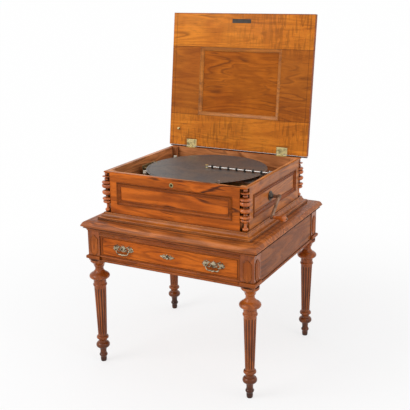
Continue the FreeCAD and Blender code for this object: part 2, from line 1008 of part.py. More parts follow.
def make_raised_panels():
    """Long hip-ended panels on the outer faces of the posts."""
    half, tall = "raised_panel_wide / 2", "raised_panel_tall / 2"
    hip = "raised_panel_hip"

    def eight(centre):
        left, right = f"{centre} - {half}", f"{centre} + {half}"
        low, high = f"raised_panel_high - {tall}", f"raised_panel_high + {tall}"
        return [
            (left, f"{low} + {hip}"),
            (f"{left} + {hip}", low),
            (f"{right} - {hip}", low),
            (right, f"{low} + {hip}"),
            (right, f"{high} - {hip}"),
            (f"{right} - {hip}", high),
            (f"{left} + {hip}", high),
            (left, f"{high} - {hip}"),
        ]

    face = "stand_depth / 2"
    front = slab("raised_front", "XZ_Plane", eight("post_x"), f"-{face} - raised_panel_out", f"-{face}")
    front_y = -val(face) - val("raised_panel_out")
    chamfer(front, "raised_panel_bevel", lambda e: abs(e.BoundBox.YMax - front_y) < 1e-4)
    face = "stand_width / 2"
    side = slab("raised_side", "YZ_Plane", eight("-post_y"), face, f"{face} + raised_panel_out")
    side_x = val(face) + val("raised_panel_out")
    chamfer(side, "raised_panel_bevel", lambda e: abs(e.BoundBox.XMin - side_x) < 1e-4)
    node("post_raised_panels", group("raised", *left_and_right(front), *four_corners(side)))


# The drawer


def make_drawer():
    half = "drawer_half - drawer_play"
    low, high = "drawer_foot", "drawer_high - drawer_play"
    inside = "-rail_face + drawer_front_thick"
    front = board("front_board", (f"-({half})", half), ("-rail_face", inside), (low, high))
    hole_long = "-rail_face - 1", f"{inside} + 1"
    keyhole = bore("drawer_keyhole", "y", ("0", "escutcheon_z"), "keyhole_bore", *hole_long)
    node("drawer_front", cut("front_cut", front, keyhole))
    back_y = "-rail_face + drawer_length"
    side = board(
        "drawer_side",
        ("drawer_inner", half),
        (inside, back_y),
        (low, f"{low} + drawer_side_tall"),
    )
    back = board(
        "drawer_back_board",
        ("-drawer_inner", "drawer_inner"),
        (f"{back_y} - drawer_side_thick", back_y),
        (f"{low} + drawer_floor_up + drawer_floor_thick", f"{low} + drawer_side_tall"),
    )
    node("drawer_sides", group("sides", *left_and_right(side), back))
    floor_z = (f"{low} + drawer_floor_up", f"{low} + drawer_floor_up + drawer_floor_thick")
    floor = board("drawer_floor", ("-drawer_inner", "drawer_inner"), (inside, back_y), floor_z)
    node("drawer_bottom", floor)
    lock = board(
        "drawer_lock_case",
        ("-drawer_lock_wide / 2", "drawer_lock_wide / 2"),
        (inside, f"{inside} + drawer_lock_deep"),
        ("escutcheon_z - drawer_lock_low", "escutcheon_z + drawer_lock_high"),
    )
    node("drawer_lock", lock)


def make_escutcheon():
    """A waisted plate with swelling ends and a keyhole."""
    end, centre = "escutcheon_wide / 2", "escutcheon_z"
    body = slab(
        "escutcheon_plate",
        "XZ_Plane",
        [
            (f"-{end}", centre),
            (f"-{end} + 5", f"{centre} - 5"),
            (f"-{end} + 13", f"{centre} - 7"),
            (f"-{end} + 18", f"{centre} - 4"),
            ("-9", f"{centre} - 11"),
            ("9", f"{centre} - 11"),
            (f"{end} - 18", f"{centre} - 4"),
            (f"{end} - 13", f"{centre} - 7"),
            (f"{end} - 5", f"{centre} - 5"),
            (end, centre),
            (f"{end} - 5", f"{centre} + 5"),
            (f"{end} - 13", f"{centre} + 7"),
            (f"{end} - 18", f"{centre} + 4"),
            ("9", f"{centre} + 11"),
            ("-9", f"{centre} + 11"),
            (f"-{end} + 18", f"{centre} + 4"),
            (f"-{end} + 13", f"{centre} + 7"),
            (f"-{end} + 5", f"{centre} + 5"),
        ],
        "-plate_face",
        "-rail_face",
    )
    through = "-plate_face - 1", "-rail_face + 1"
    hole = bore("escutcheon_hole", "y", ("0", centre), "keyhole_bore", *through)
    node("drawer_escutcheon", cut("escutcheon_cut", body, hole))


def make_handles():
    """Back plates with an ear at each end, and a swinging bail in each pair of ears."""
    end, centre = "plate_wide / 2", "handle_z"
    plate = slab(
        "handle_plate",
        "XZ_Plane",
        [
            (f"handle_x - {end}", f"{centre} + 2"),
            (f"handle_x - {end} + 5", f"{centre} - 5"),
            (f"handle_x - {end} + 16", f"{centre} - 8"),
            ("handle_x - 20", f"{centre} - 3"),
            ("handle_x - 10", f"{centre} - 9"),
            ("handle_x + 10", f"{centre} - 9"),
            ("handle_x + 20", f"{centre} - 3"),
            (f"handle_x + {end} - 16", f"{centre} - 8"),
            (f"handle_x + {end} - 5", f"{centre} - 5"),
            (f"handle_x + {end}", f"{centre} + 2"),
            (f"handle_x + {end} - 9", f"{centre} + 11"),
            (f"handle_x + {end} - 20", f"{centre} + 12"),
            ("handle_x + 16", f"{centre} + 6"),
            ("handle_x + 9", f"{centre} + 15"),
            ("handle_x - 9", f"{centre} + 15"),
            ("handle_x - 16", f"{centre} + 6"),
            (f"handle_x - {end} + 20", f"{centre} + 12"),
            (f"handle_x - {end} + 9", f"{centre} + 11"),
        ],
        "-plate_face",
        "-rail_face",
    )
    pieces = [plate]
    for number, side in enumerate("-+"):
        middle = f"handle_x {side} ear_x"
        ear = board(
            f"ear_{number}",
            (f"{middle} - ear_half", f"{middle} + ear_half"),
            ("-rail_face - ear_out", "-plate_face"),
            (f"{centre} - ear_tall / 2", f"{centre} + ear_tall / 2"),
        )
        through = f"{middle} - ear_half - 1", f"{middle} + ear_half + 1"
        wide = "bail_bar / 2 + bore_play"
        hole = bore(f"ear_{number}_hole", "x", ("-bail_y", centre), wide, *through)
        pieces.append(cut(f"ear_{number}_bored", ear, hole))
    fitted = join("handle_fitted", *pieces)
    node("handle_plates", group("handles", *left_and_right(fitted)))

    half, reach, slant = "bail_bar / 2", "(ear_x - ear_half - seat)", "bail_slant"
    low, bend = f"{centre} - bail_drop", f"{centre} - bail_drop * 0.45"
    loop = slab(
        "bail_loop",
        "XZ_Plane",
        [
            (f"handle_x - {reach}", f"{centre} + {half}"),
            (f"handle_x - {reach}", bend),
            (f"handle_x - {reach} + {slant}", f"{low} - {half}"),
            (f"handle_x + {reach} - {slant}", f"{low} - {half}"),
            (f"handle_x + {reach}", bend),
            (f"handle_x + {reach}", f"{centre} + {half}"),
            (f"handle_x + {reach} - bail_bar", f"{centre} + {half}"),
            (f"handle_x + {reach} - bail_bar", f"{bend} + {half} / 2"),
            (f"handle_x + {reach} - {slant} - {half}", f"{low} + {half}"),
            (f"handle_x - {reach} + {slant} + {half}", f"{low} + {half}"),
            (f"handle_x - {reach} + bail_bar", f"{bend} + {half} / 2"),
            (f"handle_x - {reach} + bail_bar", f"{centre} + {half}"),
        ],
        f"-bail_y - {half}",
        f"-bail_y + {half}",
    )
    near, far = f"{reach} - 1", f"{reach} + bail_pin_long"
    axis = ("-bail_y", centre)
    left_pin = rod("bail_pin_left", "x", axis, half, f"handle_x - ({far})", f"handle_x - ({near})")
    right_pin = pin("bail_pin_right", "x", axis, half, f"handle_x + {near}", f"handle_x + {far}")
    bail = join("bail_piece", loop, left_pin, right_pin)
    node("bail_right", bail)
    node("bail_left", mirror(bail, V(1, 0, 0)))


# The case


def make_plinth():
    out, inset = "plinth_out", "plinth_inset"
    body = frame_moulding(
        "plinth",
        "case_x",
        "case_y",
        [
            (f"-{inset}", "table_height"),
            (out, "table_height"),
            (out, "table_height + plinth_lip", "-plinth_out"),
            ("plinth_step", "case_low - plinth_top_band"),
            ("plinth_step", "case_low"),
            (f"-{inset}", "case_low"),
        ],
    )
    node("case_plinth", body)


def sunk_board(name, role, half, face, back, panel_half):
    """A wall with a shallow sunk field for its panel, seen from outside."""
    body = slab(name, role, rectangle((f"-({half})", half), ("case_low", "wall_top")), face, back)
    outward = f"-({face})" if role == "XZ_Plane" else back
    field = new_sketch(body, name + "_field", role, outward)
    draw_outline(field, rectangle((f"-({panel_half})", panel_half), ("panel_low", "panel_high")))
    pocket(body, field, "panel_sunk")
    return body


def make_walls():
    long_half, short_half = "case_x - notch", "case_y - notch"
    front = sunk_board(
        "front_wall", "XZ_Plane", long_half, "-case_y", "-inner_y", "front_panel_half"
    )
    strip = ("-case_x", "case_x"), ("wall_top", "case_high")
    front_strip = board("front_rim", strip[0], ("-case_y", "-inner_y"), strip[1])
    at, wide = ("keyhole_x", "keyhole_z"), "keyhole_bush + bore_play"
    bush = bore("bush_hole", "y", at, wide, "-case_y - 1", "-inner_y + 1")
    node("case_front", cut("front_done", join("front_joined", front, front_strip), bush))

    deep = ("inner_y", "case_y")
    back = board("back_wall", (f"-({long_half})", long_half), deep, ("case_low", "wall_top"))
    back_strip = board("back_rim", strip[0], deep, strip[1])
    beds = [
        board(
            f"leaf_bed_{number}",
            (
                f"{side} * hinge_x - leaf_wide / 2 - leaf_play",
                f"{side} * hinge_x + leaf_wide / 2 + leaf_play",
            ),
            ("inner_y + leaf_in - leaf_play", "case_y + 1"),
            ("case_high - leaf_thick", "case_high + 1"),
        )
        for number, side in enumerate(("-1", "1"))
    ]
    node("case_back", cut("back_done", join("back_joined", back, back_strip), *beds))

    right = sunk_board(
        "right_wall", "YZ_Plane", short_half, "inner_x", "case_x", "side_panel_half"
    )
    right_strip = board("right_rim", ("inner_x", "case_x"), ("-inner_y", "inner_y"), strip[1])
    right_done = join("right_joined", right, right_strip)
    left = mirror(right_done, V(1, 0, 0))
    node("case_left", left)
    at, wide = ("crank_y", "crank_z"), "crank_shaft + 2"
    shaft = bore("shaft_hole", "x", at, wide, "inner_x - 1", "case_x + 1")
    node("case_right", cut("right_cut", right_done, shaft))


def make_case_inside():
    node(
        "case_bottom",
        board(
            "case_floor", ("-inner_x", "inner_x"), ("-inner_y", "inner_y"), ("case_low", "floor_top")
        ),
    )
    edge_x, edge_y = "case_x - notch", "case_y - notch"
    lining = slab(
        "corner_lining",
        "XY_Plane",
        [
            (f"{edge_x} - corner_wall", f"{edge_y} - corner_wall"),
            ("inner_x", f"{edge_y} - corner_wall"),
            ("inner_x", edge_y),
            (edge_x, edge_y),
            (edge_x, "inner_y"),
            (f"{edge_x} - corner_wall", "inner_y"),
        ],
        "floor_top",
        "wall_top",
    )
    lid = board(
        "corner_lid",
        (f"{edge_x} - corner_wall", "inner_x"),
        (f"{edge_y} - corner_wall", "inner_y"),
        ("wall_top", "case_high"),
    )
    post = join("corner_post", lining, lid)
    node("case_corner_posts", group("corner_posts", *four_corners(post)))
    stretch = "(wall_top - case_low) / spindle_cap_at"
    spindle = turned("spindle", SPINDLE, "spindle_sides", stretch)
    put(spindle, "case_x - spindle_inset", "case_y - spindle_inset", "case_low")
    node("corner_spindles", group("spindles", *four_corners(spindle)))


def make_case_trim():
    """Mitred mouldings in the sunk fields, drawn flat and then stood against their walls."""
    wide, rise = "panel_frame", "panel_sunk + panel_proud"
    profile = [
        (f"-{wide}", "0"),
        ("0", "0"),
        ("0", rise),
        ("-panel_bead", rise),
        (f"-{wide}", "panel_low_edge"),
    ]
    middle = "(panel_low + panel_high) / 2"
    tall = "(panel_high - panel_low) / 2"
    front = frame_moulding("front_frame", "front_panel_half", tall, profile)
    put(front, "0", "-case_y + panel_sunk", middle, FreeCAD.Rotation(V(1, 0, 0), 90))
    side = frame_moulding("side_frame", "side_panel_half", tall, profile)
    stand = FreeCAD.Rotation(V(0, 1, 0), V(0, 0, 1), V(1, 0, 0), "ZXY")
    put(side, "case_x - panel_sunk", "0", middle, stand)
    node("panel_mouldings", group("frames", front, *left_and_right(side)))

    at = ("keyhole_x", "keyhole_z")
    bush = rod("bush", "y", at, "keyhole_bush", "-case_y - 1", "-case_y + bush_deep")
    hole = bore("bush_bore", "y", at, "keyhole_bore", "-case_y - 2", "-case_y + bush_deep + 1")
    node("keyhole_bush", cut("bush_bored", bush, hole))
    lock = board(
        "lid_lock",
        ("keyhole_x - case_lock_wide / 2", "keyhole_x + case_lock_wide / 2"),
        ("-inner_y", "-inner_y + case_lock_deep"),
        ("wall_top - case_lock_tall", "wall_top"),
    )
    node("case_lock", lock)
    at, start = ("crank_y", "crank_z"), "case_x - panel_sunk"
    rose = rod("rose", "x", at, "crank_boss", start, f"{start} + crank_boss_thick", "drum_sides")
    hub = rod("rose_hub", "x", at, "crank_hub", start, f"{start} + crank_hub_long")
    through = f"{start} - 1", f"{start} + crank_hub_long + 1"
    hole = bore("rose_hole", "x", at, "crank_shaft + bore_play", *through)
    node("crank_escutcheon", cut("rose_bored", join("rose_joined", rose, hub), hole))


def make_case_hinges():
    """Each case leaf has two outer knuckles joined by the pin."""
    half, reach = "knuckle_long / 2", "knuckle_room"
    plate = board(
        "case_leaf",
        ("hinge_x - leaf_wide / 2", "hinge_x + leaf_wide / 2"),
        ("inner_y + leaf_in", f"pivot_y - ({reach})"),
        ("case_high - leaf_thick", "case_high"),
    )
    pieces = [plate]
    for number, side in enumerate(("-1", "1")):
        near = f"hinge_x + {side} * ({half} + knuckle_gap)"
        far = f"hinge_x + {side} * ({half} + knuckle_gap + knuckle_long)"
        low, high = (far, near) if side == "-1" else (near, far)
        pieces.append(rod(f"case_knuckle_{number}", "x", ("pivot_y", "pivot_z"), "knuckle", low, high))
        pieces.append(
            board(
                f"case_tongue_{number}",
                (low, high),
                (f"pivot_y - ({reach}) - 1", "pivot_y"),
                ("case_high - leaf_thick", "case_high"),
            )
        )
    pieces.append(
        pin(
            "hinge_rod",
            "x",
            ("pivot_y", "pivot_z"),
            "hinge_pin",
            "hinge_x - knuckle_long",
            "hinge_x + knuckle_long",
        )
    )
    hinge = join("case_hinge", *pieces)
    node("hinge_case_leaves", group("case_hinges", *left_and_right(hinge)))


# The lid, drawn shut: its underside is at height 0 and it reaches forward from the hinge axis along -Y


def hang(body):
    """Opens a piece of the lid about the hinge axis."""
    turn = FreeCAD.Rotation(V(1, 0, 0), -val("lid_open"))
    put(body, "0", "pivot_y", "pivot_z", turn)
    bind(body, "Placement.Rotation.Angle", "-lid_open")
    return body


def make_lid():
    near, far = "-hinge_back", "-hinge_back - lid_depth"
    half = "lid_width / 2"
    body = slab(
        "lid_boards",
        "XY_Plane",
        rectangle((f"-{half}", half), (far, near)),
        "0",
        "lid_thick",
    )
    hole = new_sketch(body, "lid_opening", "XY_Plane", "0")
    field = ("-lid_panel_half", "lid_panel_half"), ("-lid_panel_far", "-lid_panel_near")
    draw_outline(hole, rectangle(*field))
    pocket(body, hole, "lid_thick", back=True)
    beds = new_sketch(body, "lid_beds", "XY_Plane", "0")
    for side in ("-1", "1"):
        centre = f"{side} * hinge_x"
        draw_outline(
            beds,
            rectangle(
                (
                    f"{centre} - leaf_wide / 2 - leaf_play",
                    f"{centre} + leaf_wide / 2 + leaf_play",
                ),
                ("-leaf_long - leaf_play", near),
            ),
        )
    front = f"({far} + keeper_from_front)"
    keeper = rectangle(
        ("-keeper_wide / 2 - leaf_play", "keeper_wide / 2 + leaf_play"),
        (f"{front} - leaf_play", f"{front} + keeper_deep + leaf_play"),
    )
    draw_outline(beds, keeper)
    pocket(body, beds, "leaf_thick", back=True)
    thick = val("lid_thick")
    outer = val(half) - 1e-3
    front_edge, back_edge = val(far) + 1e-3, val(near) - 1e-3

    def outer_top(edge):
        middle = edge.CenterOfMass
        at_edge = abs(middle.x) > outer or not back_edge > middle.y > front_edge
        return abs(middle.z - thick) < 1e-4 and at_edge

    fillet(body, "lid_edge_round", outer_top)
    node("lid_frame", hang(body))

    panel = slab(
        "lid_field", "XY_Plane", rectangle(*field), "lid_panel_sunk", "lid_panel_sunk + lid_panel_thick"
    )
    node("lid_panel", hang(panel))

    plate = slab(
        "keeper_plate",
        "XY_Plane",
        rectangle(("-keeper_wide / 2", "keeper_wide / 2"), (front, f"{front} + keeper_deep")),
        "0",
        "leaf_thick",
    )
    node("lock_keeper", hang(plate))

    stud = new_body("stay_body")
    root = new_sketch(stud, "stay_outline", "XY_Plane", "0")
    draw_outline(root, ring_points("stay_x", "-stay_from_hinge", "stay_stud", "pin_sides"))
    pad(stud, root, "stay_long", back=True)
    node("stay_lug", hang(stud))


def make_lid_moulding():
    """The ovolo round the sunk panel, drawn round its own centre and then hung with the lid."""
    half_y = "(lid_panel_far - lid_panel_near) / 2"
    wide, deep = "lid_moulding", "lid_panel_sunk"
    body = frame_moulding(
        "lid_frame_moulding",
        "lid_panel_half",
        half_y,
        [
            ("0", "lid_moulding_set"),
            ("0", deep),
            (f"-{wide}", deep),
            (f"-{wide}", f"{deep} - 2"),
            (f"-{wide} * 0.6", f"{deep} * 0.45"),
            ("-lid_moulding_flat", "lid_moulding_set"),
        ],
    )
    turn = FreeCAD.Rotation(V(1, 0, 0), -val("lid_open"))
    middle = "(lid_panel_far + lid_panel_near) / 2"
    put(
        body,
        "0",
        f"pivot_y - {middle} * cos(lid_open)",
        f"pivot_z + {middle} * sin(lid_open)",
        turn,
    )
    bind(body, "Placement.Rotation.Angle", "-lid_open")
    node("lid_panel_moulding", body)


def make_lid_hinges():
    """The lid's leaf has the middle knuckle, which turns on the case leaf's pin."""
    half, reach = "knuckle_long / 2", "knuckle_room"
    body = slab(
        "lid_leaf",
        "XY_Plane",
        [
            ("hinge_x - leaf_wide / 2", "-leaf_long"),
            ("hinge_x + leaf_wide / 2", "-leaf_long"),
            ("hinge_x + leaf_wide / 2", f"-({reach})"),
            (f"hinge_x + {half}", f"-({reach})"),
            (f"hinge_x + {half}", "0"),
            (f"hinge_x - {half}", "0"),
            (f"hinge_x - {half}", f"-({reach})"),
            ("hinge_x - leaf_wide / 2", f"-({reach})"),
        ],
        "0",
        "leaf_thick",
    )
    barrel = new_sketch(body, "lid_knuckle", "YZ_Plane", f"hinge_x - {half}")
    draw_outline(barrel, ring_points("0", "0", "knuckle", "pin_sides"))
    pad(body, barrel, "knuckle_long")
    hole = new_sketch(body, "lid_knuckle_bore", "YZ_Plane", f"hinge_x - {half}")
    wide = "(hinge_pin + bore_play) / cos(180 / pin_sides)"
    draw_outline(hole, ring_points("0", "0", wide, "pin_sides"))
    pocket(body, hole, "knuckle_long", back=True)
    hang(body)
    node("hinge_lid_leaves", group("lid_hinges", *left_and_right(body)))


# The music work


def make_disc():
    body = new_body("disc_body")
    blank = new_sketch(body, "disc_blank", "XY_Plane", "0")
    draw_outline(blank, ring_points("0", "0", "disc_radius", "disc_sides"))
    draw_circle(blank, "0", "0", "spindle_radius + bore_play")
    pad(body, blank, "disc_thick")
    hole = new_sketch(body, "drive_hole", "XY_Plane", "0")
    half = "hole_size / 2"
    draw_outline(hole, rectangle((f"hole_ring - {half}", f"hole_ring + {half}"), (f"-{half}", half)))
    polar(body, pocket(body, hole, "disc_thick", back=True), hole, "hole_count")
    put(body, "disc_x", "disc_y", "disc_low")
    node("tune_disc", body)


def make_bar():
    """The pressure bar is a rod from the centre catch to an eye on its pin by the right wall."""
    along = ("disc_y", "roller_axis")
    stem = pin("bar_rod", "x", along, "bar_radius", "disc_x + knob_radius + seat", "bar_pivot_x")
    at = ("bar_pivot_x", "roller_axis")
    wide = ("disc_y - eye_wide / 2", "disc_y + eye_wide / 2")
    eye = rod("bar_eye", "y", at, "eye_radius", *wide)
    through = ("disc_y - eye_wide", "disc_y + eye_wide")
    hole = bore("bar_eye_hole", "y", at, "bar_radius + bore_play", *through)
    centre = ("disc_x", "disc_y")
    tall = ("roller_axis - bar_radius", "roller_axis + bar_radius")
    stub = rod("bar_stub", "z", centre, "catch_stem + bar_radius", *tall)
    tang = board(
        "bar_tang",
        ("disc_x", "disc_x + knob_radius + seat + tang_half"),
        ("disc_y - tang_half", "disc_y + tang_half"),
        tall,
    )
    through = ("roller_axis - 2 * bar_radius", "roller_axis + 2 * bar_radius")
    well = bore("bar_end_hole", "z", centre, "catch_stem + bore_play", *through)
    node("pressure_bar", cut("bar_done", join("bar_joined", stem, eye, stub, tang), hole, well))
    rollers = []
    for number in range(int(val("roller_count"))):
        x = f"disc_x + roller_first + {number} * roller_pitch"
        wide = (x, f"{x} + roller_wide")
        tread = rod(f"tread_{number}", "x", along, "roller_radius", *wide, "roller_sides")
        through = (f"{x} - 1", f"{x} + roller_wide + 1")
        play = "bar_radius + bore_play"
        hole = bore(f"tread_bore_{number}", "x", along, play, *through, "roller_sides")
        rollers.append(cut(f"roller_{number}", tread, hole))
    node("pressure_rollers", group("rollers", *rollers))


def make_catch():
    """The brass knob that turns on the bar's end, in two parts above and below the tang."""
    centre = ("disc_x", "disc_y")
    foot, crown = "disc_top + 2 * seat", "case_high - knob_down"
    top = rod("knob_top", "z", centre, "knob_radius", "roller_axis + bar_radius + seat", crown)
    stem = rod("knob_stem", "z", centre, "catch_stem", foot, f"{crown} - 1")
    low = rod("knob_low", "z", centre, "knob_neck", foot, "roller_axis - bar_radius - seat")
    node("catch_knob", join("knob", top, stem, low))


def make_bedplate():
    deep = ("disc_y - bed_half", "disc_y + bed_half")
    plate = board("bed", ("bed_left", "bed_right"), deep, ("bed_top - bed_thick", "bed_top"))
    pillars = []
    for number, (x, y) in enumerate(
        (a, b)
        for a in ("bed_left + pillar_in", "bed_right - pillar_in")
        for b in ("disc_y - bed_half + pillar_in", "disc_y + bed_half - pillar_in")
    ):
        pillars.append(
            rod(f"pillar_{number}", "z", (x, y), "pillar_radius", "floor_top", "bed_top - bed_thick")
        )
    tall = ("bed_top", "disc_top + seat / 2")
    spindle = rod("spindle_post", "z", ("disc_x", "disc_y"), "spindle_radius", *tall)
    node("bedplate", group("bed_set", join("bed_cast", plate, *pillars), spindle))


def make_combs():
    """Two steel combs, one on each side of the star wheels, on their bases."""
    tips = "disc_y + star_radius + seat"
    root = f"{tips} + comb_tooth_long"
    body = new_body("comb")
    long_side = "comb_tooth_pitch * comb_teeth"
    plate = new_sketch(body, "comb_root", "XY_Plane", "comb_seat")
    draw_outline(
        plate,
        rectangle(("comb_first", f"comb_first + {long_side}"), (root, f"{root} + comb_root_deep")),
    )
    pad(body, plate, "comb_root_thick")
    tooth = new_sketch(body, "comb_tooth", "XY_Plane", "comb_seat + comb_root_thick - comb_tooth_thick")
    edge = "comb_first + (comb_tooth_pitch - comb_tooth_wide) / 2"
    draw_outline(tooth, rectangle((edge, f"{edge} + comb_tooth_wide"), (tips, f"{root} + 1")))
    row(body, pad(body, tooth, "comb_tooth_thick"), tooth, "H_Axis", "comb_tooth_pitch", "comb_teeth")
    front = doc.addObject("Part::Mirroring", "comb_front")
    front.Source = body
    front.Normal = V(0, 1, 0)
    bind(front, "Base.y", "disc_y")
    node("music_combs", group("combs", body, front))

    base = board(
        "comb_base",
        ("comb_first", f"comb_first + {long_side}"),
        (f"{root} + comb_base_in", f"{root} + comb_root_deep"),
        ("bed_top", "comb_seat"),
    )
    front_base = doc.addObject("Part::Mirroring", "comb_base_front")
    front_base.Source = base
    front_base.Normal = V(0, 1, 0)
    bind(front_base, "Base.y", "disc_y")
    posts = []
    last = "star_first + star_pitch * (star_count - 1) + star_thick"
    starts = ("star_first - star_post_gap - star_post_thick", f"{last} + star_post_gap")
    for number, x in enumerate(starts):
        cheek = board(
            f"star_cheek_{number}",
            (x, f"{x} + star_post_thick"),
            ("disc_y - star_post_half", "disc_y + star_post_half"),
            ("bed_top", "star_axis + star_post_thick"),
        )
        through = (f"{x} - 1", f"{x} + star_post_thick + 1")
        play = "star_bar + bore_play"
        hole = bore(f"star_cheek_hole_{number}", "x", ("disc_y", "star_axis"), play, *through)
        posts.append(cut(f"star_post_{number}", cheek, hole))
    node("comb_stand", group("comb_bases", base, front_base, *posts))


def make_stars():
    """Pointed wheels on one bar, which the disc's projections push past the comb tips."""
    body = new_body("stars")
    count = int(val("star_points"))
    points = []
    for i in range(2 * count):
        angle = math.pi * i / count
        size = "star_radius" if i % 2 == 0 else "star_radius * star_valley"
        points.append((f"{size} * {math.sin(angle):.6f}", f"{size} * {math.cos(angle):.6f}"))
    star = new_sketch(body, "star", "YZ_Plane", "star_first")
    draw_outline(star, points)
    wheel = pad(body, star, "star_thick")
    across = body.newObject("PartDesign::LinearPattern", "star_row")
    across.Originals = [wheel]
    across.Direction = (star, ["N_Axis"])
    bind(across, "Length", "star_pitch * (star_count - 1)")
    bind(across, "Occurrences", "star_count")
    body.Tip = across
    put(body, "0", "disc_y", "star_axis")
    axis = ("disc_y", "star_axis")
    last = "star_first + star_pitch * (star_count - 1) + star_thick"
    reach = "star_post_gap + star_post_thick + 1"
    ends = (f"star_first - ({reach})", f"{last} + ({reach})")
    bar = rod("star_rod", "x", axis, "star_bar", *ends, "tie_sides")
    node("star_wheels", join("star_set", body, bar))


def make_guides():
    """Light rollers that keep the disc's edge in place, on posts from the case floor."""
    posts = []
    for name, angle in (("back", "guide_back_angle"), ("front", "guide_front_angle")):
        reach = "(disc_radius + guide_radius + seat)"
        x, y = f"disc_x + {reach} * cos({angle})", f"disc_y + {reach} * sin({angle})"
        top = "disc_low - guide_tall_above"
        crown = "disc_top + guide_tall_above"
        post = rod(f"guide_post_{name}", "z", (x, y), "guide_post", "floor_top", f"{top} - seat")
        through = (f"{top} - 1", f"{crown} + 1")
        stem = rod(f"guide_pin_{name}", "z", (x, y), "guide_pin", *through)
        posts.append(join(f"guide_stand_{name}", post, stem))
        body = rod(f"guide_body_{name}", "z", (x, y), "guide_radius", top, crown)
        hole = bore(f"guide_bore_{name}", "z", (x, y), "guide_pin + bore_play", *through)
        node(f"guide_roller_{name}", cut(f"guide_{name}", body, hole))
    return posts


def make_brackets(guide_posts):
    """What stands on the case floor or the walls to carry the guides, the bar and the start lever."""
    cheeks = []
    for number, side in enumerate(("-1", "1")):
        near = f"disc_y + {side} * (eye_wide / 2 + seat)"
        far = f"disc_y + {side} * (eye_wide / 2 + seat + cheek)"
        low, high = (far, near) if side == "-1" else (near, far)
        cheeks.append(
            board(
                f"cheek_{number}",
                ("bar_pivot_x - cheek_half", "inner_x - bracket_plate"),
                (low, high),
                ("roller_axis - cheek_half - rim_room", "case_high - rim_room"),
            )
        )
    span = ("disc_y - eye_wide / 2 - seat - cheek", "disc_y + eye_wide / 2 + seat + cheek")
    tall = ("disc_top - bracket_tall", "case_high - rim_room")
    back = board("bar_plate", ("inner_x - bracket_plate", "inner_x"), span, tall)
    hinge_pin = pin("bar_pin", "y", ("bar_pivot_x", "roller_axis"), "bar_radius", *span)
    bar_bracket = join("bar_bracket", back, hinge_pin, *cheeks)
    half = "lever_block / 2"
    block = board(
        "lever_mount",
        (f"lever_x - {half}", f"lever_x + {half}"),
        ("-inner_y", "-inner_y + lever_block_deep"),
        (f"lever_axis - {half}", f"lever_axis + {half}"),
    )
    at, play = ("lever_x", "lever_axis"), "lever_radius + bore_play"
    bottom = "-inner_y + lever_block_deep - lever_sunk"
    hole = bore("lever_hole", "y", at, play, bottom, "-inner_y + lever_block_deep + 1")
    lever_bracket = cut("lever_bracket", block, hole)
    node("movement_brackets", group("brackets", bar_bracket, lever_bracket, *guide_posts))
    lever_foot = rod("lever_foot", "y", at, "lever_radius", f"{bottom} + seat", "lever_y")
    foot_low = "lever_axis - lever_radius"
    upright = rod("lever_upright", "z", ("lever_x", "lever_y"), "lever_radius", foot_low, "lever_top")
    node("start_lever", join("lever", lever_foot, upright))


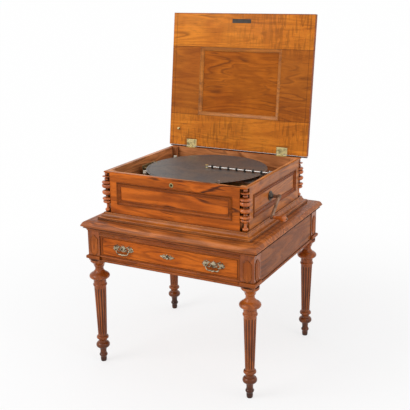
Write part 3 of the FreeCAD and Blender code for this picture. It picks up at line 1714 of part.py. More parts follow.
def make_motor():
    """Side plates, spring barrel with its great wheel, the drive arbor and the winding wheel."""
    tall = ("floor_top", "motor_top")
    deep = ("motor_front", "motor_back")
    half = "motor_plate / 2"
    plates = [
        board(f"motor_plate_{n}", (f"{x} - {half}", f"{x} + {half}"), deep, tall)
        for n, x in enumerate(("motor_left", "motor_right"))
    ]
    upper, lower = "motor_top - tie_radius - tie_edge", "floor_top + tie_radius + tie_edge"
    front, rear = "motor_front + tie_radius + 4", "motor_back - tie_edge"
    corners = [(y, z) for y in (front, rear) for z in (upper, lower)]
    ties = [
        rod(f"tie_{n}", "x", corner, "tie_radius", "motor_left", "motor_right", "tie_sides")
        for n, corner in enumerate(corners)
    ]
    outer = board(
        "governor_plate",
        (f"governor_x - {half}", f"governor_x + {half}"),
        ("motor_front + governor_step", "motor_back"),
        ("governor_low", "motor_top"),
    )
    arms = [
        rod(f"governor_tie_{n}", "x", (y, upper), "tie_radius", "governor_x", "motor_left", "tie_sides")
        for n, y in enumerate(("motor_front + governor_step + tie_edge", rear))
    ]
    lugs = [
        board(
            f"lug_{n}",
            ("governor_x", "worm_x + lug_half + 1"),
            ("worm_y - lug_half", "worm_y + lug_half"),
            (low, f"{low} + lug_thick"),
        )
        for n, low in enumerate(("motor_top - lug_thick", "governor_low"))
    ]
    frame = join("motor_joined", *plates, *ties, outer, *arms, *lugs)
    at_drive, at_barrel = ("disc_y", "drive_z"), ("barrel_y", "barrel_z")
    left = ("motor_left - motor_plate", "motor_left + motor_plate")
    right = ("motor_right - motor_plate", "motor_right + motor_plate")
    all_plates = ("governor_x - motor_plate", "motor_right + motor_plate")
    drive = bore("drive_hole_x", "x", at_drive, "arbor + bore_play", *all_plates)
    hub = bore("hub_hole", "x", at_barrel, "barrel_hub + bore_play", *left)
    spring = bore("spring_hole", "x", at_barrel, "barrel_arbor + bore_play", *right)
    crank = bore("crank_hole", "x", ("crank_y", "crank_z"), "crank_shaft + bore_play", *right)
    tall = ("governor_low - 1", "motor_top + 1")
    fly = bore("fly_hole", "z", ("worm_x", "worm_y"), "worm_core + bore_play", *tall)
    node("motor_frame", cut("motor_bored", frame, drive, hub, spring, crank, fly))

    to_drive = angle_of("disc_y - barrel_y", "drive_z - barrel_z")
    great = gear("great_wheel", "great_radius", "great_teeth")
    set_gear(great, "great_x", "barrel_y", "barrel_z", to_drive)
    sides = ("motor_left + barrel_side_room", "motor_right - barrel_side_room")
    drum = rod("drum", "x", at_barrel, "barrel_radius", *sides, "drum_sides")
    neck = rod("drum_neck", "x", at_barrel, "barrel_hub", "great_x + 1", f"{sides[0]} + 1")
    node("spring_barrel", join("barrel", great, drum, neck))

    half_pitch = 180 / val("pinion_teeth")
    pinion = set_gear(
        gear("drive_pinion", "pinion_radius", "pinion_teeth"),
        "great_x",
        "disc_y",
        "drive_z",
        to_drive + 180 + half_pitch,
    )
    wheel = toothed(
        "sprocket",
        "sprocket_radius - sprocket_rim",
        "sprocket_radius + sprocket_tooth",
        "1.4",
        "1.1",
        "sprocket_thick",
        "sprocket_teeth",
    )
    set_gear(wheel, "drive_x - sprocket_thick / 2", "disc_y", "drive_z", 90)
    worm_wheel = set_gear(
        gear("worm_wheel", "worm_wheel_radius", "worm_teeth"),
        "worm_x - gear_thick / 2",
        "disc_y",
        "drive_z",
        0,
    )
    ends = ("governor_x - motor_plate / 2 - arbor_end", "plate_right_out + arbor_end")
    arbor = rod("drive_rod", "x", at_drive, "arbor", *ends)
    node("drive_arbor", join("drive", arbor, pinion, wheel, worm_wheel))

    blade_low = "governor_low + vane_up"
    ends = ("governor_low + seat", "motor_top - seat")
    stem = rod("fly_stem", "z", ("worm_x", "worm_y"), "worm_core", *ends)
    blade = board(
        "fly_blade",
        ("worm_x - vane", "worm_x + vane"),
        ("worm_y - vane_thick / 2", "worm_y + vane_thick / 2"),
        (blade_low, f"{blade_low} + vane_tall"),
    )
    node("governor_fly", join("fly", stem, blade))

    to_crank = angle_of("crank_y - barrel_y", "crank_z - barrel_z")
    winding = gear("winding_gear", "winding_radius", "winding_teeth")
    set_gear(winding, "winding_x", "barrel_y", "barrel_z", to_crank)
    ends = (f"{sides[1]} + seat", "winding_x + gear_thick + arbor_end")
    core = rod("winding_core", "x", at_barrel, "barrel_arbor", *ends)
    node("winding_wheel", join("winding", winding, core))
    return to_crank


def make_crank(to_winding):
    """The winding shaft with its pinion, arm and grip pin, and the turned grip that spins on the pin."""
    half_pitch = 180 / val("pinion_teeth")
    pinion = set_gear(
        gear("winding_pinion", "pinion_radius", "pinion_teeth"),
        "winding_x",
        "crank_y",
        "crank_z",
        to_winding + 180 + half_pitch,
    )
    axis = ("crank_y", "crank_z")
    arm_far = "crank_arm_x + crank_arm_thick"
    shaft = rod("winding_rod", "x", axis, "crank_shaft", "motor_right - motor_plate / 2", "inner_x")
    journal = pin("crank_journal", "x", axis, "crank_shaft", "inner_x", arm_far)
    end_y = "crank_y + crank_reach * cos(crank_angle)"
    end_z = "crank_z + crank_reach * sin(crank_angle)"
    arm = board(
        "arm_bar",
        ("crank_arm_x", arm_far),
        ("0", "crank_reach"),
        ("-crank_arm_wide / 2", "crank_arm_wide / 2"),
    )
    turn = FreeCAD.Rotation(V(1, 0, 0), val("crank_angle"))
    arm.Placement = FreeCAD.Placement(V(0, 0, 0), turn)
    half = "crank_arm_wide / 2"
    bind(arm, "Placement.Base.x", "crank_arm_x")
    bind(arm, "Placement.Base.y", f"crank_y + {half} * sin(crank_angle)")
    bind(arm, "Placement.Base.z", f"crank_z - {half} * cos(crank_angle)")
    bind(arm, "Placement.Rotation.Angle", "crank_angle")
    plates = [arm]
    for name, y, z in (("arm_hub", *axis), ("arm_end", end_y, end_z)):
        plates.append(rod(name, "x", (y, z), f"{half} + 1", "crank_arm_x", arm_far))
    at, grip_end = (end_y, end_z), "grip_x + grip_long"
    grip_rod = pin("grip_pin_rod", "x", at, "grip_pin", "crank_arm_x", f"{grip_end} + 1")
    head = rod("grip_pin_head", "x", at, "grip_head", f"{grip_end} + seat", f"{grip_end} + 3")
    node("crank_shaft", join("crank", shaft, journal, pinion, *plates, grip_rod, head))

    wood = turned("grip_wood", GRIP, "pin_sides")
    reach = ("grip_ferrule_at - 1", "grip_end_at + 1")
    grip = cut("grip_bored", wood, bore("grip_hole", "z", ("0", "0"), "grip_pin + bore_play", *reach))
    put(grip, "grip_x", end_y, end_z, ALONG["x"])
    node("crank_grip", grip)


def check_and_export():
    """Every object must be made, and every sub-part a sound solid, before a file is written."""
    doc.recompute()
    for thing in doc.Objects:
        if "Invalid" in thing.State or "Error" in thing.State:
            raise RuntimeError(f"{thing.Name} failed: {thing.State}")
    for label, thing in NODES.items():
        shape = thing.Shape
        if shape.isNull() or not shape.isValid() or not shape.Solids:
            raise RuntimeError(f"{label} is not a sound solid")
    os.makedirs(PARTS, exist_ok=True)
    for label, thing in NODES.items():
        thing.Shape.exportStep(f"{PARTS}/{label}.step")


def main():
    fill_sheet()
    make_table_top()
    make_legs()
    make_aprons()
    make_runners()
    make_stand_mouldings()
    make_raised_panels()
    make_drawer()
    make_escutcheon()
    make_handles()
    make_plinth()
    make_walls()
    make_case_inside()
    make_case_trim()
    make_case_hinges()
    make_lid()
    make_lid_moulding()
    make_lid_hinges()
    make_disc()
    make_bar()
    make_catch()
    make_bedplate()
    make_combs()
    make_stars()
    make_brackets(make_guides())
    make_crank(make_motor())
    check_and_export()


main()
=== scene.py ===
"""Disc music box on its table stand: the looks of the piece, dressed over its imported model.

Front is -Y, right is +X and up is +Z, in metres, with the origin on the floor under the middle of the stand.
"""

import math

import bmesh
import bpy
from bpy.props import FloatProperty, FloatVectorProperty, IntProperty, PointerProperty
from mathutils import Matrix, Vector


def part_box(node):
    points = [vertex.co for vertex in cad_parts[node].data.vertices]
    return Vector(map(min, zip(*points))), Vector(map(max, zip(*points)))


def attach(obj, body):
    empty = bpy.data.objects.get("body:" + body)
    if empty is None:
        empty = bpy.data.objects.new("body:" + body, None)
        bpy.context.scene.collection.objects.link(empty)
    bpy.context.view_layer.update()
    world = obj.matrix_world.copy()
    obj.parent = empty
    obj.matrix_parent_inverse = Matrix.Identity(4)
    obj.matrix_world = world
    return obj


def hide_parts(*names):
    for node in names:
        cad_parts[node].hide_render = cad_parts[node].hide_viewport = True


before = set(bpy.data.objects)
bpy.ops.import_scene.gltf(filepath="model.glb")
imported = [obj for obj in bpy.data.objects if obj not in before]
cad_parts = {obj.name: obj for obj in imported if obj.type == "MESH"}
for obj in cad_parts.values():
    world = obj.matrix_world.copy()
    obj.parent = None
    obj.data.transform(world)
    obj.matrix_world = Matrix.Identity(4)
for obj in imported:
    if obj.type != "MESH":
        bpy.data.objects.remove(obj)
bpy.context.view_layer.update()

bl_info = {
    "name": "Disc music box",
    "version": (1, 0, 0),
    "blender": (4, 5, 0),
    "location": "3D View > Sidebar > Music box",
    "description": "Dresses the disc music box and its table stand piece by piece",
    "category": "Object",
}

MM = 0.001


# Sizes and colours a user would change


def colour(name, description, default):
    return FloatVectorProperty(
        name=name, description=description, default=default, subtype="COLOR", size=3, min=0.0, max=1.0
    )


def length(name, description, default):
    return FloatProperty(name=name, description=description, default=default, unit="LENGTH", min=0.0)


class WoodColours(bpy.types.PropertyGroup):
    """Colours of the walnut."""

    case: colour("Case", "Walnut of the case and the drawer front", (0.47, 0.104, 0.008))
    top: colour("Table top", "Walnut of the table top and the plinth", (0.42, 0.118, 0.022))
    turned: colour("Turned", "Darker walnut of legs, posts and spindles", (0.26, 0.064, 0.010))
    lid: colour("Lid", "Golden walnut inside the lid", (0.56, 0.172, 0.014))
    inside: colour("Inside", "Paler boards inside the case", (0.60, 0.235, 0.085))
    vein: colour("Vein", "Dark figure that runs through every board", (0.060, 0.014, 0.004))


class MetalColours(bpy.types.PropertyGroup):
    """Colours of the metals."""

    disc: colour("Disc", "Tarnished steel of the tune disc", (0.19, 0.165, 0.142))
    steel: colour("Steel", "Bright steel of the bar and the combs", (0.62, 0.60, 0.57))
    iron: colour("Iron", "Blackened iron of the crank and the rollers", (0.035, 0.031, 0.028))
    bronze: colour("Bed", "Bronze paint of the bedplate", (0.30, 0.20, 0.085))
    brass: colour("Brass", "Aged brass of hinges, keeper and knob", (0.60, 0.49, 0.23))
    cast: colour("Cast mounts", "Silvered brass of the handles and the escutcheon", (0.52, 0.44, 0.30))
    bone: colour("Bone", "Pale guide rollers", (0.62, 0.57, 0.47))


class TurningSizes(bpy.types.PropertyGroup):
    """Fineness of the turned work."""

    flutes: IntProperty(name="Flutes", description="Hollows round each leg", default=12, min=6, max=24)
    flute_depth: length("Flute depth", "How deep each hollow is cut", 0.0032)
    facets: IntProperty(name="Facets", description="Faces round a leg", default=96, min=24, max=192)


class StageLight(bpy.types.PropertyGroup):
    """The studio."""

    sky: FloatProperty(name="Sky", description="Strength of the light all round", default=0.72, min=0.0)
    key: FloatProperty(name="Key", description="Power of the large lamp at the front left", default=75.0, min=0.0)
    fill: FloatProperty(name="Fill", description="Power of the lamp at the right", default=22.0, min=0.0)
    floor: colour("Floor", "Colour of the floor", (0.93, 0.93, 0.94))


# Shader maths


class Value:
    """A number that changes over a surface, held as a node's output."""

    def __init__(self, finish, socket):
        self.finish, self.socket = finish, socket

    def maths(self, operation, *numbers, clamp=False):
        node = self.finish.add("ShaderNodeMath", {"operation": operation, "use_clamp": clamp}, dict(enumerate(numbers)))
        return Value(self.finish, node.outputs[0])

    def __add__(self, other):
        return self.maths("ADD", self, other)

    def __radd__(self, other):
        return self.maths("ADD", other, self)

    def __sub__(self, other):
        return self.maths("SUBTRACT", self, other)

    def __rsub__(self, other):
        return self.maths("SUBTRACT", other, self)

    def __mul__(self, other):
        return self.maths("MULTIPLY", self, other)

    def __rmul__(self, other):
        return self.maths("MULTIPLY", other, self)

    def __truediv__(self, other):
        return self.maths("DIVIDE", self, other)

    def __pow__(self, other):
        return self.maths("POWER", self, other)

    def __abs__(self):
        return self.maths("ABSOLUTE", self)

    def least(self, other):
        return self.maths("MINIMUM", self, other)

    def most(self, other):
        return self.maths("MAXIMUM", self, other)

    def step(self, low, high, start=0.0, end=1.0):
        """Runs smoothly from start to end while the value runs from low to high."""
        node = self.finish.add(
            "ShaderNodeMapRange",
            {"interpolation_type": "SMOOTHSTEP"},
            {"Value": self, "From Min": low, "From Max": high, "To Min": start, "To Max": end},
        )
        return Value(self.finish, node.outputs["Result"])


class Finish:
    """One procedural material, from its shader's plain numbers and what varies over the surface."""

    def __init__(self, name, **plain):
        self.material = bpy.data.materials.new(name)
        self.material.use_nodes = True
        self.tree = self.material.node_tree
        self.shader = self.tree.nodes["Principled BSDF"]
        for socket, number in plain.items():
            self.shader.inputs[socket.replace("_", " ")].default_value = number

    def add(self, kind, settings=None, feeds=None):
        """A node of a kind, with its settings set first and then its sockets' values or links."""
        node = self.tree.nodes.new(kind)
        for name, setting in (settings or {}).items():
            if name == "stops":
                for place, tint in setting:
                    stop = node.color_ramp.elements.new(place)
                    stop.color = (*tint, 1.0)
                node.color_ramp.elements.remove(node.color_ramp.elements[0])
                node.color_ramp.elements.remove(node.color_ramp.elements[-1])
            else:
                setattr(node, name, setting)
        for key, number in (feeds or {}).items():
            self.feed(node.inputs[key], number)
        return node

    def feed(self, socket, number):
        if isinstance(number, Value):
            number = number.socket
        if isinstance(number, bpy.types.NodeSocket):
            self.tree.links.new(number, socket)
        else:
            socket.default_value = number

    def spot(self):
        """Where a point of the piece lies at rest."""
        return self.add("ShaderNodeTexCoord").outputs["Object"]

    def parts(self, vector):
        outputs = self.add("ShaderNodeSeparateXYZ", None, {0: vector}).outputs
        return [Value(self, outputs[i]) for i in range(3)]

    def vector(self, x, y, z):
        return self.add("ShaderNodeCombineXYZ", None, {0: x, 1: y, 2: z}).outputs[0]

    def scaled(self, vector, scales):
        node = self.add("ShaderNodeVectorMath", {"operation": "MULTIPLY"}, {0: vector, 1: scales})
        return node.outputs[0]

    def shifted(self, vector, other):
        return self.add("ShaderNodeVectorMath", {"operation": "ADD"}, {0: vector, 1: other}).outputs[0]

    def noise(self, vector, scale=1.0, detail=3.0, rough=0.55, warp=0.0):
        feeds = {"Vector": vector, "Scale": scale, "Detail": detail, "Roughness": rough, "Distortion": warp}
        return Value(self, self.add("ShaderNodeTexNoise", None, feeds).outputs["Fac"])

    def cells(self, vector, scale, spread=1.0):
        """Distance to the nearest of some scattered points."""
        feeds = {"Vector": vector, "Scale": scale, "Randomness": spread}
        return Value(self, self.add("ShaderNodeTexVoronoi", None, feeds).outputs["Distance"])

    def mix(self, share, first, second, kind="MIX"):
        """Two colours mixed by a share."""
        node = self.add("ShaderNodeMix", {"data_type": "RGBA", "blend_type": kind, "clamp_factor": True})
        for index, number in ((0, share), (6, first), (7, second)):
            if not isinstance(number, (Value, bpy.types.NodeSocket, float, int)):
                number = (*number[:3], 1.0)
            self.feed(node.inputs[index], number)
        return node.outputs[2]

    def soft_edges(self, radius):
        """The normal with its sharp edges rounded over, and how near an edge is."""
        bevel = self.add("ShaderNodeBevel", {"samples": 4}, {"Radius": radius}).outputs["Normal"]
        flat = self.add("ShaderNodeNewGeometry").outputs["True Normal"]
        alike = self.add("ShaderNodeVectorMath", {"operation": "DOT_PRODUCT"}, {0: bevel, 1: flat})
        return bevel, (1.0 - Value(self, alike.outputs["Value"])).step(0.01, 0.25)

    def painted_shade(self, reach):
        """Painted shade: how shut in a spot is, from 0 in the open to 1 deep in a corner."""
        node = self.add("ShaderNodeAmbientOcclusion", {"samples": 4}, {"Distance": reach})
        return Value(self, node.outputs["AO"]).step(0.35, 0.95, 1.0, 0.0)

    def finish(self, tint, rough, height=None, depth=0.0003, normal=None):
        self.feed(self.shader.inputs["Base Color"], tint)
        self.feed(self.shader.inputs["Roughness"], rough)
        if height is not None:
            feeds = {"Height": height, "Distance": depth, "Strength": 1.0}
            bump = self.add("ShaderNodeBump", None, feeds)
            if normal is not None:
                self.feed(bump.inputs["Normal"], normal)
            normal = bump.outputs["Normal"]
        if normal is not None:
            self.feed(self.shader.inputs["Normal"], normal)
        return self.material


# Woods. The grain runs along one axis of the piece as it stands at rest.


def shade(tint, by):
    return tuple(min(1.0, part * by) for part in tint)


def figured(finish, axis, seed):
    """Flow of the grain, its growth bands, streaks, pores and cross ripple, each from 0 to 1."""
    place = finish.shifted(finish.spot(), (seed * 0.37, seed * 0.23, seed * 0.51))

    def grain(cross, long, detail, rough, warp=0.0):
        scales = [cross, cross, cross]
        scales["xyz".index(axis)] = long
        return finish.noise(finish.scaled(place, scales), 1.0, detail, rough, warp)

    flow = grain(9.0, 1.3, 3.0, 0.5, 0.5)
    streak = grain(130.0, 4.0, 3.0, 0.65)
    wave = finish.add("ShaderNodeMath", {"operation": "SINE"}, {0: flow * 64.0 + streak * 3.0}).outputs[0]
    bands = Value(finish, wave) * 0.5 + 0.5
    pores = grain(800.0, 30.0, 1.0, 0.5).step(0.60, 0.72)
    ripple = grain(16.0, 105.0, 2.0, 0.5, 0.5)
    return flow, bands, streak, pores, ripple


def walnut(name, tint, axis, seed=0.0, dark=0.6, ripple_zone=None, gloss=0.3, wear=0.5, line=None, zones=(), hollow=None,
           figure=0.5, sheen=0.11, polish=0.06):
    """French-polished walnut with dark veins, open pores, rubbed edges and painted shade in the low places.

    A zone gives a mask and the tint of the wood there; a line is inlaid or scribed; a hollow mask darkens the wood, as
    painted shade in cut hollows and darker towards a foot.
    """
    vein_tint = tuple(bpy.context.scene.wood_colours.vein)
    finish = Finish(name, Coat_Weight=polish, Coat_Roughness=0.1, Specular_IOR_Level=sheen)
    flow, bands, streak, pores, ripple = figured(finish, axis, seed)
    ground = tint
    for zone, other in zones:
        ground = finish.mix(zone(finish), ground, other)
    low, high = 1.0 - 0.46 * figure, 1.0 + 0.34 * figure
    contrast = finish.mix((bands * 0.4 + streak * 0.6).step(0.2, 0.8), (low, low * 0.95, low * 0.9), (high, high, high))
    base = finish.mix(1.0, ground, contrast, "MULTIPLY")
    cloud = finish.noise(finish.spot(), 5.5 + seed * 0.1, 3.0, 0.6)
    stain = finish.mix(cloud.step(0.36, 0.66), (1.08, 1.12, 1.14), (0.90, 0.84, 0.80))
    base = finish.mix(1.0, base, stain, "MULTIPLY")
    near = abs(flow - 0.5).least(abs(flow - 0.575)).least(abs(flow - 0.43))
    vein = near.step(0.002, 0.016, 1.0, 0.0) * finish.noise(finish.spot(), 6.0, 2.0).step(0.42, 0.6) * dark
    base = finish.mix(vein, base, vein_tint)
    if ripple_zone:
        share = ripple_zone(finish)
        base = finish.mix(ripple.step(0.50, 0.60) * share * 0.5, base, shade(tint, 0.55))
        base = finish.mix(ripple.step(0.46, 0.38) * share * 0.5, base, shade(tint, 1.5))
    base = finish.mix(pores * 0.5, base, vein_tint)
    soft, edge = finish.soft_edges(0.0016)
    rubbed = edge * finish.noise(finish.spot(), 34.0, 4.0, 0.65).step(0.35, 0.65) * wear
    base = finish.mix(rubbed, base, (min(1.0, tint[0] * 1.6), min(1.0, tint[1] * 2.4), tint[2] * 5.0))
    # Painted shade: corners and creases darkened towards the vein colour.
    base = finish.mix(finish.painted_shade(0.014) * 0.85, base, shade(vein_tint, 0.45))
    spots = finish.cells(finish.spot(), 62.0).step(0.06, 0.03) * finish.noise(finish.spot(), 9.0).step(0.55, 0.7)
    base = finish.mix(spots * 0.55, base, vein_tint)
    height = streak * 0.25 - pores * 0.5
    if line:
        inlay = line(finish)
        base = finish.mix(inlay * 0.85, base, shade(vein_tint, 0.7))
        height = height - inlay * 1.5
    if hollow:
        # Painted shade in the flutes, and darker wood towards the feet, from the hollow mask.
        base = finish.mix(hollow(finish) * 0.74, base, shade(vein_tint, 0.6))
    rough = gloss + streak * 0.10 + pores * 0.12 + cloud * 0.14
    return finish.finish(base, rough, height, 0.00012, soft)


# Metals


def worn_metal(name, tint, rough=0.35, dirt_and_shade=0.5, metallic=1.0, grain=220.0, dark=(0.03, 0.022, 0.015)):
    """Metal with fine scratches, a darker skin in patches, brighter rubbed edges and painted shade in its corners."""
    finish = Finish(name, Metallic=metallic, Specular_IOR_Level=0.5)
    place = finish.spot()
    skin = finish.noise(place, grain, 4.0, 0.65)
    patch = finish.noise(place, grain * 0.22, 3.0, 0.6, 0.3)
    base = finish.mix(patch.step(0.42, 0.68) * dirt_and_shade, tint, dark)
    base = finish.mix(skin.step(0.5, 0.75) * dirt_and_shade * 0.6, base, shade(tint, 0.45))
    soft, edge = finish.soft_edges(0.0005)
    base = finish.mix(edge * 0.5, base, shade(tint, 1.35))
    # Painted shade: corners and the gaps under parts darkened, scaled with the dirt.
    base = finish.mix(finish.painted_shade(0.006) * min(1.0, dirt_and_shade * 1.3), base, dark)
    return finish.finish(base, rough + patch * 0.25 + skin * 0.08, skin, 0.00006, soft)


def disc_face(name, tint, centre):
    """Tarnished sheet steel: lathe rings, cloudy stain and rows of punched projections on their tracks, their slots
    painted dark as shade.
    """
    finish = Finish(name, Metallic=0.72, Specular_IOR_Level=0.45)
    place = finish.spot()
    x, y, z = finish.parts(place)
    across, up = x - centre[0], y - centre[1]
    reach = (across * across + up * up) ** 0.5
    angle = Value(finish, finish.add("ShaderNodeMath", {"operation": "ARCTAN2"}, {0: up, 1: across}).outputs[0])
    track = reach / 0.0031
    lane = Value(finish, finish.add("ShaderNodeMath", {"operation": "FLOOR"}, {0: track}).outputs[0])
    slot = angle * 34.0 + lane * 0.618
    cell = Value(finish, finish.add("ShaderNodeMath", {"operation": "FLOOR"}, {0: slot}).outputs[0])
    chance = finish.add("ShaderNodeTexWhiteNoise", {"noise_dimensions": "2D"}, {0: finish.vector(lane, cell, 0.0)})
    chance = Value(finish, chance.outputs["Value"]).step(0.70, 0.71)
    in_lane = abs(track - lane - 0.5).step(0.30, 0.22)
    along = abs(slot - cell - 0.5) * reach / 34.0
    in_slot = along.step(0.0011, 0.0007)
    band = reach.step(0.045, 0.05) * reach.step(0.231, 0.228)
    punched = chance * in_lane * in_slot * band
    rings = finish.noise(finish.vector(reach, 0.0, 0.0), 900.0, 3.0, 0.7)
    cloud = finish.noise(place, 9.0, 5.0, 0.62, 0.5)
    fleck = finish.noise(place, 240.0, 3.0, 0.7)
    base = finish.mix(cloud.step(0.35, 0.7), tint, (tint[0] * 0.66, tint[1] * 0.78, tint[2] * 0.95))
    base = finish.mix(rings.step(0.4, 0.7) * 0.25, base, shade(tint, 1.5))
    base = finish.mix(fleck.step(0.58, 0.72) * 0.5, base, (0.05, 0.028, 0.015))
    # Painted shade: the punched slots darkened near black, for the dark seen through them.
    base = finish.mix(punched * 0.85, base, (0.02, 0.016, 0.013))
    rough = 0.40 + cloud * 0.22 + fleck * 0.1
    return finish.finish(base, rough, fleck * 0.3 - punched * 2.0 + rings * 0.3, 0.0002)


# Shapes


class Shape:
    """Corners and faces gathered into one mesh."""

    def __init__(self):
        self.corners, self.faces = [], []

    def add(self, corners, faces):
        start = len(self.corners)
        self.corners += [Vector(c) for c in corners]
        self.faces += [[start + i for i in face] for face in faces]
        return self

    def loops(self, rings, closed=True, caps=True):
        """Faces between rings of equal corner count."""
        count = len(rings[0])
        faces = []
        for k in range(len(rings) - 1):
            for i in range(count if closed else count - 1):
                j = (i + 1) % count
                faces.append([k * count + i, k * count + j, (k + 1) * count + j, (k + 1) * count + i])
        if caps:
            faces.append(list(range(count))[::-1])
            last = (len(rings) - 1) * count
            faces.append([last + i for i in range(count)])
        return self.add([c for r in rings for c in r], faces)

    def block(self, low, high):
        (x0, y0, z0), (x1, y1, z1) = low, high
        ring = lambda z: [(x0, y0, z), (x1, y0, z), (x1, y1, z), (x0, y1, z)]
        return self.loops([ring(z0), ring(z1)])

    def moved(self, matrix, start=0):
        for i in range(start, len(self.corners)):
            self.corners[i] = matrix @ self.corners[i]
        return self

    def piece(self, name, material, body, slot, replaces=(), smooth=40.0, bevel=0.0, steps=2):
        """The mesh as a piece of the object that rides on a body."""
        mesh = bpy.data.meshes.new(name)
        mesh.from_pydata([tuple(c) for c in self.corners], [], self.faces)
        work = bmesh.new()
        work.from_mesh(mesh)
        bmesh.ops.remove_doubles(work, verts=work.verts, dist=1e-6)
        bmesh.ops.recalc_face_normals(work, faces=work.faces)
        work.to_mesh(mesh)
        work.free()
        mesh.materials.append(material)
        thing = bpy.data.objects.new(name, mesh)
        bpy.context.scene.collection.objects.link(thing)
        if bevel:
            rounding = thing.modifiers.new("rounded_edges", "BEVEL")
            rounding.width, rounding.segments, rounding.limit_method = bevel, steps, "ANGLE"
            rounding.angle_limit = math.radians(30.0)
        if smooth:
            mesh.shade_smooth()
            mesh.set_sharp_from_angle(angle=math.radians(smooth))
        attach(thing, body)
        if replaces:
            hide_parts(*replaces)
        return thing


def smooth_outline(points, steps=6):
    """Places and radii of a turned outline. A point marked with a third value is a sharp arris."""
    spans, run = [], [points[0]]
    for point in points[1:]:
        run.append(point)
        if len(point) > 2:
            spans.append(run)
            run = [point]
    spans.append(run)
    out = []
    for span in spans:
        if len(span) < 2:
            continue
        for k in range(len(span) - 1):
            p1, p2 = Vector(span[k][:2]), Vector(span[k + 1][:2])
            p0 = Vector(span[k - 1][:2]) if k else p1
            p3 = Vector(span[k + 2][:2]) if k + 2 < len(span) else p2
            count = 1 if len(span) == 2 else steps
            for i in range(count):
                t = i / count
                a = (p2 - p0) * 0.5
                b = (p3 - p1) * 0.5
                h = (2 * t**3 - 3 * t**2 + 1) * p1 + (t**3 - 2 * t**2 + t) * a
                h += (3 * t**2 - 2 * t**3) * p2 + (t**3 - t**2) * b
                out.append((h.x, h.y))
        out.append(tuple(span[-1][:2]))
    return out


def lathe(shape, outline, facets=48, matrix=Matrix(), hollow=None):
    """A turning round Z from (place, radius) pairs in mm; hollow(place, angle) takes wood away."""
    start = len(shape.corners)
    rings = []
    for place, radius in outline:
        ring = []
        for i in range(facets):
            angle = 2 * math.pi * i / facets
            reach = (radius - (hollow(place, angle) if hollow else 0.0)) * MM
            ring.append((reach * math.cos(angle), reach * math.sin(angle), place * MM))
        rings.append(ring)
    shape.loops(rings)
    return shape.moved(matrix, start)


def placed(x, y, z, axis="z", turn=0.0):
    """A matrix that stands a turning at a place in mm, with its own Z along an axis."""
    lean = {
        "z": Matrix(),
        "x": Matrix.Rotation(math.radians(90), 4, "Y"),
        "-y": Matrix.Rotation(math.radians(90), 4, "X"),
        "y": Matrix.Rotation(math.radians(-90), 4, "X"),
    }[axis]
    return Matrix.Translation((x * MM, y * MM, z * MM)) @ lean @ Matrix.Rotation(turn, 4, "Z")


def mitred(shape, profile, half_x, half_y, matrix=Matrix()):
    """A moulding round a rectangle with mitred corners; the profile is (outward, up) in mm."""
    start = len(shape.corners)
    rings = []
    for sx, sy in ((1, 1), (-1, 1), (-1, -1), (1, -1)):
        rings.append([(sx * (half_x + out) * MM, sy * (half_y + out) * MM, up * MM) for out, up in profile])
    shape.loops(rings + rings[:1], caps=False)
    return shape.moved(matrix, start)


def run_of(shape, profile, low, high, matrix=Matrix()):
    """A straight moulding along X between two places; the profile is (forward, up) in mm."""
    start = len(shape.corners)
    ends = [[(x * MM, -out * MM, up * MM) for out, up in profile] for x in (low, high)]
    shape.loops(ends)
    return shape.moved(matrix, start)


def arc(x, y, radius, start, end, steps=8):
    """Points of an arc round a centre, in degrees."""
    out = []
    for i in range(steps + 1):
        angle = math.radians(start + (end - start) * i / steps)
        out.append((x + radius * math.cos(angle), y + radius * math.sin(angle)))
    return out


def tube(shape, path, radii, facets=14):
    """A round bar of changing radius along a path of points in mm."""
    points = [Vector(p) * MM for p in path]
    rings, side = [], None
    for k, point in enumerate(points):
        ahead = (points[min(k + 1, len(points) - 1)] - points[max(k - 1, 0)]).normalized()
        if side is None:
            side = ahead.orthogonal().normalized()
        side = (side - ahead * side.dot(ahead)).normalized()
        other = ahead.cross(side)
        radius = (radii[k] if isinstance(radii, (list, tuple)) else radii) * MM
        turn = [2 * math.pi * i / facets for i in range(facets)]
        rings.append([point + (side * math.cos(a) + other * math.sin(a)) * radius for a in turn])
    return shape.loops(rings)


def curve_through(points, steps=8):
    """A smooth path through some points."""
    pts = [Vector(p) for p in points]
    out = []
    for k in range(len(pts) - 1):
        p1, p2 = pts[k], pts[k + 1]
        p0 = pts[k - 1] if k else p1 - (p2 - p1)
        p3 = pts[k + 2] if k + 2 < len(pts) else p2 + (p2 - p1)
        for i in range(steps):
            t = i / steps
            a, b = (p2 - p0) * 0.5, (p3 - p1) * 0.5
            out.append(
                (2 * t**3 - 3 * t**2 + 1) * p1
                + (t**3 - 2 * t**2 + t) * a
                + (3 * t**2 - 2 * t**3) * p2
                + (t**3 - t**2) * b
            )
    return out + [pts[-1]]


def screw(shape, matrix, radius=3.0):
    """A slotted countersunk head, standing a little proud of its plate."""
    facets = 20
    start = len(shape.corners)
    outline = [(-0.4, radius), (0.15, radius), (0.45, radius * 0.72), (0.5, radius * 0.2)]
    lathe(shape, outline, facets)
    slot = 0.28
    for i in range(start, len(shape.corners)):
        corner = shape.corners[i]
        if abs(corner.y) < slot * MM and corner.z > 0:
            corner.z = -0.1 * MM
    return shape.moved(matrix, start)


def paint(material, *nodes):
    """Gives nodes of the model their finish."""
    for name in nodes:
        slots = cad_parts[name].data.materials
        slots.clear()
        slots.append(material)


def hung(matrix=Matrix()):
    """From the shut lid, drawn forward from its hinge axis, to where it stands open; in metres."""
    pivot = Matrix.Translation((0.0, 0.2821, 0.823))
    return pivot @ Matrix.Rotation(math.radians(-96.9), 4, "X") @ matrix


# Stage


